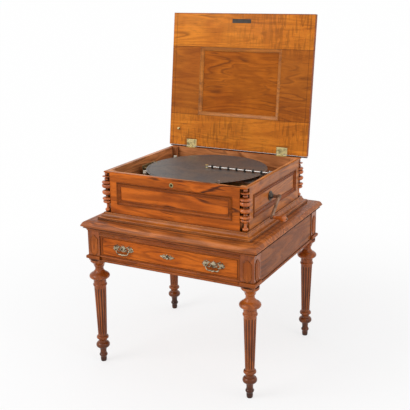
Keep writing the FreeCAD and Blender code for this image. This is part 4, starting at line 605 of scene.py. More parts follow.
class MUSICBOX_OT_stage(bpy.types.Operator):
    """Floor, studio light and camera"""

    bl_idname = "musicbox.stage"
    bl_label = "Stage"

    def execute(self, context):
        light = context.scene.stage_light
        self.floor(tuple(light.floor))
        self.world(context, light.sky)
        self.lamp("key_lamp", (-2.3, -3.0, 3.1), (0.0, 0.0, 0.75), 2.4, light.key)
        self.lamp("fill_lamp", (3.4, -0.6, 2.4), (0.0, 0.0, 0.8), 2.2, light.fill)
        self.camera(context)
        return {"FINISHED"}

    def floor(self, tint):
        finish = Finish("studio_floor", Roughness=0.9)
        tone = finish.mix(finish.noise(finish.spot(), 1.2, 2.0).step(0.3, 0.7), tint, shade(tint, 0.985))
        finish.finish(tone, 0.9)
        glow = finish.add("ShaderNodeEmission", None, {"Color": (1.0, 1.0, 1.0, 1.0), "Strength": 1.0})
        path = finish.add("ShaderNodeLightPath")
        seen = Value(finish, path.outputs["Is Camera Ray"])
        seen = seen.most(Value(finish, path.outputs["Is Glossy Ray"]))
        seen = seen.most(Value(finish, path.outputs["Is Transmission Ray"]))
        x, y, z = finish.parts(finish.spot())
        seen = seen * ((x * x + y * y) ** 0.5).step(0.4, 2.2, 0.70, 0.985)
        both = finish.add("ShaderNodeMixShader", None, {0: seen, 1: finish.shader.outputs[0], 2: glow.outputs[0]})
        output = finish.tree.nodes["Material Output"]
        finish.feed(output.inputs["Surface"], both.outputs[0])
        size = 60.0
        mesh = bpy.data.meshes.new("studio_floor")
        corners = [(-size, -size, -0.0005), (size, -size, -0.0005), (size, size, -0.0005), (-size, size, -0.0005)]
        mesh.from_pydata(corners, [], [(0, 1, 2, 3)])
        mesh.materials.append(finish.material)
        thing = bpy.data.objects.new("studio_floor", mesh)
        bpy.context.scene.collection.objects.link(thing)

    def world(self, context, strength):
        world = bpy.data.worlds.new("studio")
        world.use_nodes = True
        tree = world.node_tree
        plain = tree.nodes["Background"]
        plain.inputs["Color"].default_value = (1.0, 1.0, 1.0, 1.0)
        plain.inputs["Strength"].default_value = strength
        white = tree.nodes.new("ShaderNodeBackground")
        white.inputs["Strength"].default_value = 1.0
        white.inputs["Color"].default_value = (1.0, 1.0, 1.0, 1.0)
        path = tree.nodes.new("ShaderNodeLightPath")
        largest = path.outputs["Is Camera Ray"]
        for other in ("Is Glossy Ray", "Is Transmission Ray"):
            step = tree.nodes.new("ShaderNodeMath")
            step.operation = "MAXIMUM"
            tree.links.new(largest, step.inputs[0])
            tree.links.new(path.outputs[other], step.inputs[1])
            largest = step.outputs[0]
        both = tree.nodes.new("ShaderNodeMixShader")
        tree.links.new(largest, both.inputs[0])
        tree.links.new(plain.outputs[0], both.inputs[1])
        tree.links.new(white.outputs[0], both.inputs[2])
        tree.links.new(both.outputs[0], tree.nodes["World Output"].inputs["Surface"])
        context.scene.world = world
        context.scene.view_settings.view_transform = "Standard"

    def lamp(self, name, place, aim, size, power):
        data = bpy.data.lights.new(name, "AREA")
        data.shape, data.size, data.energy = "SQUARE", size, power
        thing = bpy.data.objects.new(name, data)
        thing.location = place
        thing.rotation_mode = "QUATERNION"
        thing.rotation_quaternion = (Vector(aim) - Vector(place)).to_track_quat("-Z", "Y")
        bpy.context.scene.collection.objects.link(thing)

    def camera(self, context):
        data = bpy.data.cameras.new("view")
        data.lens, data.sensor_width = 67.21, 36.0
        data.shift_x, data.shift_y = -0.0165, -0.0340
        thing = bpy.data.objects.new("view", data)
        thing.location = (1.4224, -2.7101, 1.5406)
        yaw = Matrix.Rotation(math.radians(27.24), 4, "Z")
        pitch = Matrix.Rotation(math.radians(90.0 - 15.22), 4, "X")
        roll = Matrix.Rotation(math.radians(-0.52), 4, "Z")
        thing.rotation_euler = (yaw @ pitch @ roll).to_euler()
        context.scene.collection.objects.link(thing)
        context.scene.camera = thing


# Boards that keep the model's own shape


class MUSICBOX_OT_boards(bpy.types.Operator):
    """Walnut on the boards of the stand, the case, the drawer and the lid"""

    bl_idname = "musicbox.boards"
    bl_label = "Boards"

    def execute(self, context):
        woods = context.scene.wood_colours
        case, top, turned = tuple(woods.case), tuple(woods.top), tuple(woods.turned)
        lid, inside = tuple(woods.lid), tuple(woods.inside)
        self.case(case, inside)
        self.lid(lid)
        paint(walnut("inner_walnut", inside, "x", 5.0, 0.3, gloss=0.42), "case_bottom", "drawer_bottom")
        paint(walnut("inner_upright_walnut", inside, "z", 6.0, 0.3, gloss=0.42), "case_corner_posts")
        paint(walnut("runner_walnut", shade(inside, 0.9), "y", 7.0, 0.3, gloss=0.5), "drawer_runners", "drawer_sides")
        paint(walnut("rail_walnut", shade(case, 0.72), "x", 8.0, 0.5), "drawer_rail_upper", "drawer_rail_lower")
        paint(walnut("stile_walnut", shade(case, 0.6), "z", 9.0, 0.5), "drawer_stiles")
        paint(walnut("back_apron_walnut", shade(case, 0.6), "x", 4.5, 0.5), "back_apron")
        paint(walnut("side_apron_walnut", shade(top, 0.62), "y", 10.0, 0.5, sheen=0.14), "side_apron_left", "side_apron_right")
        paint(walnut("drawer_front_walnut", shade(case, 1.0), "x", 11.0, 0.5, sheen=0.08), "drawer_front")
        return {"FINISHED"}

    def case(self, case, inside):
        """The four walls, paler and duller on their inner faces, with painted sheen in the tint of the sides."""
        across = lambda finish: abs(finish.parts(finish.spot())[0]).step(0.3055, 0.3045)
        deep = lambda finish: abs(finish.parts(finish.spot())[1]).step(0.272, 0.271)
        paint(walnut("case_front_walnut", case, "x", 2.0, 0.95, zones=[(deep, inside)], figure=0.7), "case_front")
        paint(walnut("case_back_walnut", shade(case, 0.7), "x", 4.0, 0.5, zones=[(deep, inside)]), "case_back")
        # Painted sheen: the sides are lighter and greyer than the front, standing in for the studio they reflect.
        sheen_side_tint = (case[0] * 0.88, case[1] * 1.12, case[2] * 1.5)
        side = walnut("case_side_sheen_walnut", sheen_side_tint, "y", 3.0, 0.4, zones=[(across, inside)], sheen=0.34, figure=0.65)
        paint(side, "case_left", "case_right")

    def lid(self, lid):
        """Two pale rippled rails over and under the panel, darker stiles, and the joints between the boards."""

        def rails(finish):
            up = finish.parts(finish.spot())[2]
            return (up.step(1.2665, 1.2675) + up.step(0.9695, 0.9685)).least(1.0)

        def rippled(finish):
            x, y, z = finish.parts(finish.spot())
            patch = finish.noise(finish.spot(), 3.0, 2.0).step(0.36, 0.52)
            return patch * (z.step(1.2, 1.3) * x.step(-0.2, 0.2) + z.step(1.02, 0.93)).least(1.0)

        def joints(finish):
            x, y, z = finish.parts(finish.spot())
            seam = abs(z - 1.267).least(abs(z - 0.969)).step(0.0012, 0.0006)
            border = abs(abs(x) - 0.3165).step(0.0012, 0.0006) * 0.7
            return seam.most(border)

        def rim(finish):
            x, y, z = finish.parts(finish.spot())
            return abs(x).step(0.3330, 0.3336).most(z.step(1.4090, 1.4100))

        woods = [(rails, shade(lid, 1.1)), (rim, (lid[0] * 0.5, lid[1] * 0.36, lid[2] * 0.7))]
        side = (lid[0] * 0.70, lid[1] * 0.62, lid[2] * 0.6)
        finish = walnut(
            "lid_frame_walnut", side, "x", 12.0, 0.35, rippled, 0.32, 0.7, joints, woods, figure=0.36, sheen=0.09
        )
        paint(finish, "lid_frame")
        panel = (lid[0] * 0.72, lid[1] * 0.60, lid[2] * 0.45)
        paint(walnut("lid_panel_walnut", panel, "x", 14.0, 0.5, gloss=0.3, figure=0.42, sheen=0.06), "lid_panel")


class MUSICBOX_OT_mouldings(bpy.types.Operator):
    """Mouldings of the stand, the plinth, the panels and the lid"""

    bl_idname = "musicbox.mouldings"
    bl_label = "Mouldings"

    def execute(self, context):
        woods = context.scene.wood_colours
        case, top, turned = tuple(woods.case), tuple(woods.top), tuple(woods.turned)
        lid = tuple(woods.lid)
        dark = walnut("moulding_walnut", shade(turned, 1.25), "x", 20.0, 0.4, gloss=0.25, wear=0.8)
        self.table(walnut("table_top_walnut", top, "x", 1.0, 0.6, gloss=0.28, line=self.stringing, figure=0.7, sheen=0.2))
        self.stand(dark)
        self.posts(walnut("raised_panel_walnut", shade(turned, 1.35), "z", 21.0, 0.4, wear=0.9))
        # Painted sheen: a lighter, greyer tint than the case stands in for the studio the plinth's steps reflect.
        plinth = (case[0] * 0.88, case[1] * 1.1, case[2] * 1.6)
        self.plinth(walnut("plinth_sheen_walnut", plinth, "x", 22.0, 0.6, gloss=0.2, wear=0.9, sheen=0.26))
        self.panels(walnut("panel_moulding_walnut", shade(case, 0.62), "x", 23.0, 0.4, gloss=0.24, wear=0.8))
        self.lid(walnut("lid_moulding_walnut", shade(lid, 0.8), "x", 24.0, 0.3, gloss=0.25, wear=1.0, sheen=0.3))
        return {"FINISHED"}

    def stringing(self, finish):
        """Two fine dark lines let into the top, parallel to its edge."""
        x, y, z = finish.parts(finish.spot())
        edge = (0.386 - abs(x)).least(0.3515 - abs(y))
        return abs(abs(edge - 0.0285) - 0.0028).step(0.0013, 0.0008) * z.step(0.6250, 0.6256)

    def table(self, wood):
        """The top, with a thumb moulding that falls to a thin nosing and is coved underneath."""
        shape = Shape()
        profile = [(-30, 626), (-19.6, 626), (-19.2, 625.2)] + arc(-19.2, 607.5, 17.4, 88, 14, 10)
        profile += [(-0.8, 610.4), (0, 609.4), (0, 604.6), (-1.0, 603.6), (-2.2, 603.4)]
        profile += arc(-2.0, 597.4, 6.0, 100, 172, 6) + [(-8.6, 597.6), (-8.6, 596), (-30, 596)]
        mitred(shape, profile, 386, 351.5)
        inner = [(356 * MM * a, 321.5 * MM * b) for a, b in ((1, 1), (-1, 1), (-1, -1), (1, -1))]
        for z in (0.596, 0.626):
            shape.add([(a, b, z) for a, b in inner], [[0, 1, 2, 3]])
        shape.piece("table_top_moulded", wood, "case_and_stand", "case_wood", ["table_top"])

    def stand(self, wood):
        shape = Shape()
        cove = [(0, 585), (2, 585), (2, 586.2)] + arc(14, 585, 11.6, 180, 102, 8)[1:] + [(14, 596), (0, 596)]
        mitred(shape, cove, 367, 330)
        lip = [(0, 465), (4.5, 465)] + arc(4.5, 469.5, 3.5, -90, 0, 4) + arc(4.5, 475.5, 3.5, 0, 90, 4) + [(0, 480)]
        for sx in (1, -1):
            for sy in (1, -1):
                self.post_foot(shape, sx, sy)
        frieze = [(327, 567), (329.2, 567), (330.4, 568.5), (330.4, 570.2)]
        frieze += arc(333.5, 575.5, 5.2, 240, 120, 8) + [(330.4, 581.0), (331, 582.4), (329.4, 584), (327, 584)]
        run_of(shape, frieze, -311, 311)
        for low in (458, 476):
            bead = [(327, low), (328.6, low), (328.6, low + 1)] + arc(328.2, low + 4.5, 2.8, -62, 62, 6)
            run_of(shape, bead + [(328.6, low + 8), (328.6, low + 9), (327, low + 9)], -311, 311)
        for sx in (1, -1):
            turn = Matrix.Rotation(math.radians(90 * sx), 4, "Z")
            skirt = [(364, 458), (367, 458), (367, 459.5)] + arc(365.2, 462.5, 2.8, -55, 55, 6)
            run_of(shape, skirt + [(367, 465.5), (367, 467), (364, 467)], -274, 274, turn)
        shape.piece("stand_mouldings_fine", wood, "case_and_stand", "dark_wood", ["stand_mouldings"])

    def post_foot(self, shape, sx, sy):
        """A collar moulding on the two outer faces of a post, mitred at its corner."""
        profile = [(0, 465), (3, 465)] + arc(3, 470, 5, -90, 0, 5) + arc(3, 475, 5, 0, 90, 5) + [(0, 480)]
        rings = []
        for x, y, out_x, out_y in ((311, 330, 0, 1), (367, 330, 1, 1), (367, 274, 1, 0)):
            ring = []
            for out, up in profile:
                ring.append((sx * (x + out * out_x) * MM, sy * (y + out * out_y) * MM, up * MM))
            rings.append(ring)
        shape.loops(rings)

    def posts(self, wood):
        """Long raised panels with hipped ends."""
        shape = Shape()
        for sx in (1, -1):
            for sy in (1, -1):
                self.hipped(shape, placed(sx * 339, sy * 302, 524) @ Matrix.Translation((sx * 0.028, 0, 0)), "x", sx)
            self.hipped(shape, placed(sx * 339, -302, 524) @ Matrix.Translation((0, -0.028, 0)), "y", -1)
        shape.piece("post_raised_panels_fine", wood, "case_and_stand", "dark_wood", ["post_raised_panels"])

    def hipped(self, shape, matrix, face, sign):
        start = len(shape.corners)
        rings = []
        for inset, out in ((0, -1.0), (0, 1.6), (0.8, 2.2), (2.2, 2.2), (3.0, 1.0), (4.4, 0.8), (14.0, 3.5)):
            half, tall, hip = 18 - inset, 43 - inset, 14 - inset * 0.75
            outline = [(-half, -tall + hip), (-half + hip, -tall), (half - hip, -tall), (half, -tall + hip)]
            outline += [(-a, -b) for a, b in outline]
            ring = []
            for a, b in outline:
                spot = (sign * out * MM, a * MM, b * MM) if face == "x" else (a * MM, sign * out * MM, b * MM)
                ring.append(spot)
            rings.append(ring)
        shape.loops(rings)
        shape.moved(matrix, start)

    def plinth(self, wood):
        shape = Shape()
        outline = [(-30, 626), (24, 626), (24, 629.5), (22.6, 630.6), (22.6, 631.8), (24, 633)] + arc(21.4, 634.6, 2.6, -10, 90, 5) + [(19.5, 638)]
        outline += arc(21.0, 651.5, 14.3, 262, 184, 10) + [(5, 651), (5, 653.6), (4, 655), (-30, 655)]
        mitred(shape, outline, 311.7, 278.2)
        shape.piece("case_plinth_fine", wood, "case_and_stand", "dark_wood", ["case_plinth"])

    def panels(self, wood):
        """An ogee frame sunk in each face of the case, and the field inside it."""
        shape = Shape()
        profile = [(-18, 0), (0, 0), (0, 5)] + arc(-1.6, 5, 1.3, 20, 170, 5) + [(-3.6, 4.6)]
        profile += arc(-13, 12.0, 10.6, -28, -82, 7) + [(-13.4, 1.2)] + arc(-15.4, 1.2, 1.8, 10, 170, 5) + [(-18, 0.6)]
        fronts = placed(0, -274.2, 738) @ Matrix.Rotation(math.radians(90), 4, "X")
        mitred(shape, profile, 253.5, 46, fronts)
        for sign in (1, -1):
            stand = Matrix(((0, 0, sign, 0), (sign, 0, 0, 0), (0, 1, 0, 0), (0, 0, 0, 1)))
            mitred(shape, profile, 218, 46, placed(sign * 307.7, 0, 738) @ stand)
        shape.piece("panel_mouldings_fine", wood, "case_and_stand", "dark_wood", ["panel_mouldings"])

    def lid(self, wood):
        shape = Shape()
        profile = [(0, 0.3), (0, 9), (-16, 9), (-16, 8), (-14.6, 7.6), (-13.4, 6.2), (-11, 4.4), (-8, 3), (-5, 2.1)]
        profile += [(-3.2, 1.8), (-2.8, 0.5), (-1.6, -0.2), (-0.4, -0.2)]
        mitred(shape, profile, 194, 150, hung(Matrix.Translation((0, -0.297, 0))))
        shape.piece("lid_panel_moulding_fine", wood, "lid", "lid_wood", ["lid_panel_moulding"])


# Turned work


LEG_OUTLINE = [
    (458, 35), (450.5, 35, 1), (448, 34), (441, 26.5), (433, 22), (427, 20.5, 1), (425.5, 19.2), (420, 17.4),
    (411, 18.4), (404, 24, 1), (402, 25.5), (397, 33.5), (391, 40), (385, 42), (379, 40), (374, 34), (370, 28, 1),
    (369, 26.2, 1), (352.5, 25.6, 1), (351.5, 27), (349, 28.5), (344.5, 28.5), (342, 26.6), (341, 25, 1),
    (336, 25, 1), (122, 18.5, 1), (117, 18.7, 1), (115.5, 23), (111, 25), (106, 24.4), (101, 19, 1), (98, 17.2),
    (93, 17), (88.6, 19, 1), (86.4, 23.4), (81, 27.4), (75, 28.5), (69, 27), (64, 22), (61.4, 16.4, 1), (57, 14.6),
    (46, 13), (38.6, 13.6, 1), (36, 14), (32.5, 16.6), (28.5, 17), (24, 15.2), (21, 13, 1), (19, 12.6), (12, 13),
    (3, 12.2, 1), (0, 11),
]
SPINDLE_OUTLINE = [
    (162.7, 4), (161, 6.6), (157, 8.2), (153, 7.2), (150, 4.6, 1), (149, 14), (147.2, 17.4), (145, 16), (143.4, 6, 1),
    (140, 7.6), (136, 10.4), (132, 9.4), (129.4, 6, 1), (128.4, 15), (125.5, 19.6), (122, 20.6), (118.6, 19),
    (116, 14.5, 1), (114.4, 18.8), (110, 21), (104.5, 20.6), (100, 17), (97.2, 9, 1), (94, 7), (91, 9, 1), (89, 17),
    (84.4, 20.8), (79, 20.6), (73.4, 17), (70, 9, 1), (66, 7), (62.4, 9, 1), (60.4, 17), (56.6, 20.8), (52.4, 20),
    (48.4, 14.5, 1), (46.6, 17.4), (42.4, 18.6), (38.4, 16.4), (35.4, 9, 1), (33, 6), (26, 5), (18, 5.6),
    (14.6, 7, 1), (13.2, 10), (8.4, 11.6), (3.2, 9.4), (0, 6),
]
GRIP_OUTLINE = [
    (0, 6.6), (1, 7.6, 1), (5, 7.6, 1), (6, 6.4), (10, 5.8), (17, 6.6), (28, 9.6), (38, 12), (46, 11.8), (51, 9.4),
    (53.4, 6.6, 1), (54.4, 5.6), (55, 3),
]


class MUSICBOX_OT_legs(bpy.types.Operator):
    """Four turned and fluted legs, each in one with its corner post"""

    bl_idname = "musicbox.legs"
    bl_label = "Legs"

    def execute(self, context):
        sizes = context.scene.turning_sizes
        wood = walnut(
            "leg_walnut", shade(tuple(context.scene.wood_colours.turned), 1.25), "z", 30.0, 0.5, gloss=0.14, wear=0.9,
            hollow=lambda finish: self.flute_shade_and_dark_foot(finish, sizes.flutes), sheen=0.16, polish=0.32,
        )
        outline = smooth_outline(LEG_OUTLINE, 5)
        shaft = [(y, r) for y, r in outline if y > 336 or y < 122]
        cut = [k for k, (y, r) in enumerate(shaft) if y < 122][0]
        rings = []
        for i in range(33):
            y = 336 - 214 * i / 32
            rings.append((y, 18.5 + 6.5 * (y - 122) / 214))
        outline = shaft[:cut] + rings + shaft[cut:]
        depth, flutes = sizes.flute_depth / MM, sizes.flutes

        def hollow(place, angle):
            if not 124 < place < 334:
                return 0.0
            end = min(place - 124, 334 - place) / 9.0
            fade = math.sqrt(max(0.0, 1.0 - (1.0 - min(1.0, end)) ** 2))
            wave = (1.0 - abs(math.cos(angle * flutes / 2.0)) ** 1.6) * 1.15
            return depth * fade * min(1.0, max(0.0, wave - 0.06) * 1.1)

        for name, sx, sy in (
            ("leg_front_left", -1, -1),
            ("leg_front_right", 1, -1),
            ("leg_back_left", -1, 1),
            ("leg_back_right", 1, 1),
        ):
            shape = Shape()
            place = placed(sx * 339, sy * 302, 0)
            lathe(shape, outline, sizes.facets, place, hollow)
            x, y = sx * 339 * MM, sy * 302 * MM
            shape.block((x - 0.028, y - 0.028, 0.458), (x + 0.028, y + 0.028, 0.596))
            shape.piece(name + "_turned", wood, "case_and_stand", "case_wood", [name], smooth=35.0)
        return {"FINISHED"}

    def flute_shade_and_dark_foot(self, finish, flutes):
        """Painted shade that lies dark in the hollows of the flutes, and wood that grows darker, in uneven patches,
        towards the foot.
        """
        x, y, z = finish.parts(finish.spot())
        across, along = abs(x) - 0.339, abs(y) - 0.302
        angle = Value(finish, finish.add("ShaderNodeMath", {"operation": "ARCTAN2"}, {0: along, 1: across}).outputs[0])
        wave = Value(finish, finish.add("ShaderNodeMath", {"operation": "COSINE"}, {0: angle * flutes}).outputs[0])
        # Painted shade: the hollows of the flutes.
        fluted = wave.step(0.3, -0.9) * z.step(0.122, 0.128) * z.step(0.336, 0.330)
        worn = finish.noise(finish.spot(), 22.0, 3.0).step(0.2, 0.7, 0.6, 1.0)
        return (fluted * 1.1).most(z.step(0.16, 0.03) * worn * 1.35)


class MUSICBOX_OT_spindles(bpy.types.Operator):
    """Turned spindles in the notched corners of the case"""

    bl_idname = "musicbox.spindles"
    bl_label = "Corner spindles"

    def execute(self, context):
        wood = walnut(
            "spindle_walnut", shade(tuple(context.scene.wood_colours.turned), 1.9), "z", 40.0, 0.5, gloss=0.14, wear=1.0,
            sheen=0.25, polish=0.5,
        )
        shape = Shape()
        outline = smooth_outline(SPINDLE_OUTLINE, 5)
        for sx in (1, -1):
            for sy in (1, -1):
                lathe(shape, outline, 48, placed(sx * 303.7, sy * 270.2, 655))
        shape.piece("corner_spindles_turned", wood, "case_and_stand", "dark_wood", ["corner_spindles"], smooth=50.0)
        return {"FINISHED"}


# Fittings


class MUSICBOX_OT_drawer_fittings(bpy.types.Operator):
    """Cast drop handles and the escutcheon of the drawer"""

    bl_idname = "musicbox.drawer_fittings"
    bl_label = "Drawer fittings"

    def execute(self, context):
        metals = context.scene.metal_colours
        cast = worn_metal("cast_mount", tuple(metals.cast), 0.26, 1.0, grain=420.0, dark=(0.018, 0.012, 0.007))
        plates = Shape()
        for side in (-1, 1):
            self.plate(plates, side * 200, 524)
            self.bail(side, cast)
        plates.piece("handle_plates_cast", cast, "drawer", "bright_steel", ["handle_plates"], smooth=60.0)
        self.escutcheon(cast)
        iron = worn_metal("lock_iron", tuple(metals.iron), 0.45, 0.3)
        paint(iron, "drawer_lock")
        return {"FINISHED"}

    def scroll(self, shape, spots, radius, lift=0.0):
        """A cast stem in relief along a smooth path of (x, z) spots on the drawer's face."""
        path = [(x, -327.6 - lift, z) for x, z in spots]
        smooth = curve_through(path, 6)
        count = len(smooth) - 1
        radii = [radius * (0.55 + 0.45 * math.sin(math.pi * min(1.0, (k + 2) / (count + 2)))) for k in range(count + 1)]
        tube(shape, smooth, radii, 8)

    def boss(self, shape, x, z, radius, high):
        outline = [(-0.5, radius), (high * 0.3, radius), (high * 0.75, radius * 0.8), (high, radius * 0.3)]
        lathe(shape, outline, 20, placed(x, -327, z, "-y"))

    def leaf(self, shape, x, z, long, wide, turn, high=1.7):
        """A pointed cast leaf with a raised rib."""
        start = len(shape.corners)
        rows = []
        for k in range(9):
            t = k / 8
            half = wide * 0.5 * math.sin(math.pi * (t**0.75)) + 0.12
            rise = high * math.sin(math.pi * min(1.0, t * 1.05)) * 0.8 + 0.5
            rows.append(
                [
                    (-half * MM, 0, t * long * MM),
                    (-half * 0.55 * MM, -rise * 0.75 * MM, t * long * MM),
                    (0, -rise * MM * 0.62, t * long * MM),
                    (half * 0.55 * MM, -rise * 0.75 * MM, t * long * MM),
                    (half * MM, 0, t * long * MM),
                ]
            )
        shape.loops(rows, caps=True)
        lean = Matrix.Rotation(math.radians(turn), 4, "Y")
        shape.moved(Matrix.Translation((x * MM, -0.3275, z * MM)) @ lean, start)

    def plate(self, shape, x, z):
        """Pierced back plate: bosses at the ears, scrolls between them and a crest of leaves."""
        for side in (-1, 1):
            ear = x + side * 33
            self.boss(shape, ear, z + 1, 8.5, 2.2)
            self.boss(shape, ear, z + 1, 5.0, 4.6)
            lathe(shape, [(-0.5, 3.0), (10.5, 2.8), (11.6, 3.6), (12.6, 3.0), (13.0, 1.5)], 16, placed(ear, -327, z, "-y"))
            for turn, long, wide in ((52, 14, 7), (92, 14, 6.5), (14, 17, 7), (130, 10, 5), (-22, 13, 6)):
                self.leaf(shape, ear + side * 2, z + 1, long, wide, side * turn)
            self.leaf(shape, ear - side * 4, z + 3, 13, 6.0, -side * 58)
            spots = [(ear - side * 6, z - 3), (ear - side * 13, z - 8), (ear - side * 20, z - 4), (ear - side * 17, z + 2)]
            self.scroll(shape, spots + [(ear - side * 13, z + 0.5)], 1.6)
            spots = [(ear - side * 5, z + 6), (ear - side * 12, z + 13), (ear - side * 20, z + 9), (ear - side * 24, z)]
            self.scroll(shape, spots, 1.8)
            self.scroll(shape, [(ear - side * 9, z + 14), (ear - side * 5, z + 18), (ear, z + 14)], 1.5)
            self.scroll(shape, [(x + side * 13, z + 3), (x + side * 8, z - 5), (x, z - 8)], 1.7)
        self.boss(shape, x, z + 3, 6.4, 3.2)
        for turn, long, wide in ((0, 16, 9), (34, 15, 7), (-34, 15, 7), (74, 13, 6), (-74, 13, 6), (180, 11, 8)):
            self.leaf(shape, x, z + 3, long, wide, turn)
        for turn in (145, -145):
            self.leaf(shape, x, z + 1, 10, 5.5, turn)

    def bail(self, side, cast):
        """The swinging drop: a swelling loop with a small knop in the middle."""
        shape = Shape()
        x, y, z = side * 200, -336.5, 524
        spots = [(-33, 0.0), (-29.5, -0.6), (-28.2, -6), (-25, -13), (-17, -17.6), (-7, -17.4)]
        spots += [(0, -19), (7, -17.4), (17, -17.6), (25, -13), (28.2, -6), (29.5, -0.6), (33, 0.0)]
        path = curve_through([(x + a, y, z + b) for a, b in spots], 6)
        radii = []
        for point in path:
            low = min(1.0, max(0.0, (z - point.z) / 18.0))
            radii.append(1.5 + 0.9 * low)
        tube(shape, path, radii, 14)
        for offset, drop, radius in ((0, 19, 3.9), (-5.4, 17.8, 3.0), (5.4, 17.8, 3.0), (-21.5, 15.6, 2.9), (21.5, 15.6, 2.9)):
            ball = [(-radius, 0.6), (-radius * 0.7, radius * 0.72), (0, radius), (radius * 0.7, radius * 0.72), (radius, 0.6)]
            lathe(shape, smooth_outline(ball, 3), 16, placed(x + offset, y, z - drop, "x"))
        name = "left" if side < 0 else "right"
        shape.piece(f"bail_{name}_cast", cast, f"handle_{name}", "bright_steel", [f"bail_{name}"], smooth=60.0)

    def escutcheon(self, cast):
        """Key plate with leaf scrolls either side of a domed shield, and its keyhole."""
        shape = Shape()
        z = 525.5
        for side in (-1, 1):
            for turn, long, wide, away in ((90, 16, 6, 18), (60, 10, 5, 14), (120, 10, 5, 14), (90, 12, 8, 8)):
                self.leaf(shape, side * away, z, long, wide, side * turn, 1.5)
            self.boss(shape, side * 23, z, 3.6, 2.2)
            self.scroll(shape, [(side * 7, z + 6), (side * 14, z + 8), (side * 19, z + 4), (side * 16, z + 1)], 1.3)
            self.scroll(shape, [(side * 7, z - 6), (side * 14, z - 8), (side * 19, z - 4), (side * 16, z - 1)], 1.3)
        self.leaf(shape, 0, z + 4, 7.5, 7, 0)
        self.leaf(shape, 0, z - 4, 7.5, 7, 180)
        ring = [(-0.4, 8.6), (1.2, 8.6), (2.2, 7.6), (2.4, 6.0), (1.6, 4.6), (1.3, 2.6), (-0.4, 2.6)]
        start = len(shape.corners)
        rings = []
        for place, radius in ring + ring[:1]:
            turn = [2 * math.pi * i / 32 for i in range(32)]
            rings.append([(radius * MM * math.cos(a), radius * 1.12 * MM * math.sin(a), place * MM) for a in turn])
        shape.loops(rings, caps=False)
        shape.moved(placed(0, -327, z, "-y"), start)
        shape.piece("drawer_escutcheon_cast", cast, "drawer", "bright_steel", ["drawer_escutcheon"], smooth=60.0)
        slot = Shape()
        lathe(slot, [(-0.3, 2.4), (0.1, 2.4)], 20, placed(0, -327, z + 1.0, "-y"))
        slot.block((-0.0009, -0.3272, (z - 4.2) * MM), (0.0009, -0.3268, z * MM))
        dark = worn_metal("keyhole_dark", (0.012, 0.010, 0.009), 0.7, 0.2)
        slot.piece("drawer_keyhole_shadow", dark, "drawer", "black_iron", smooth=0)


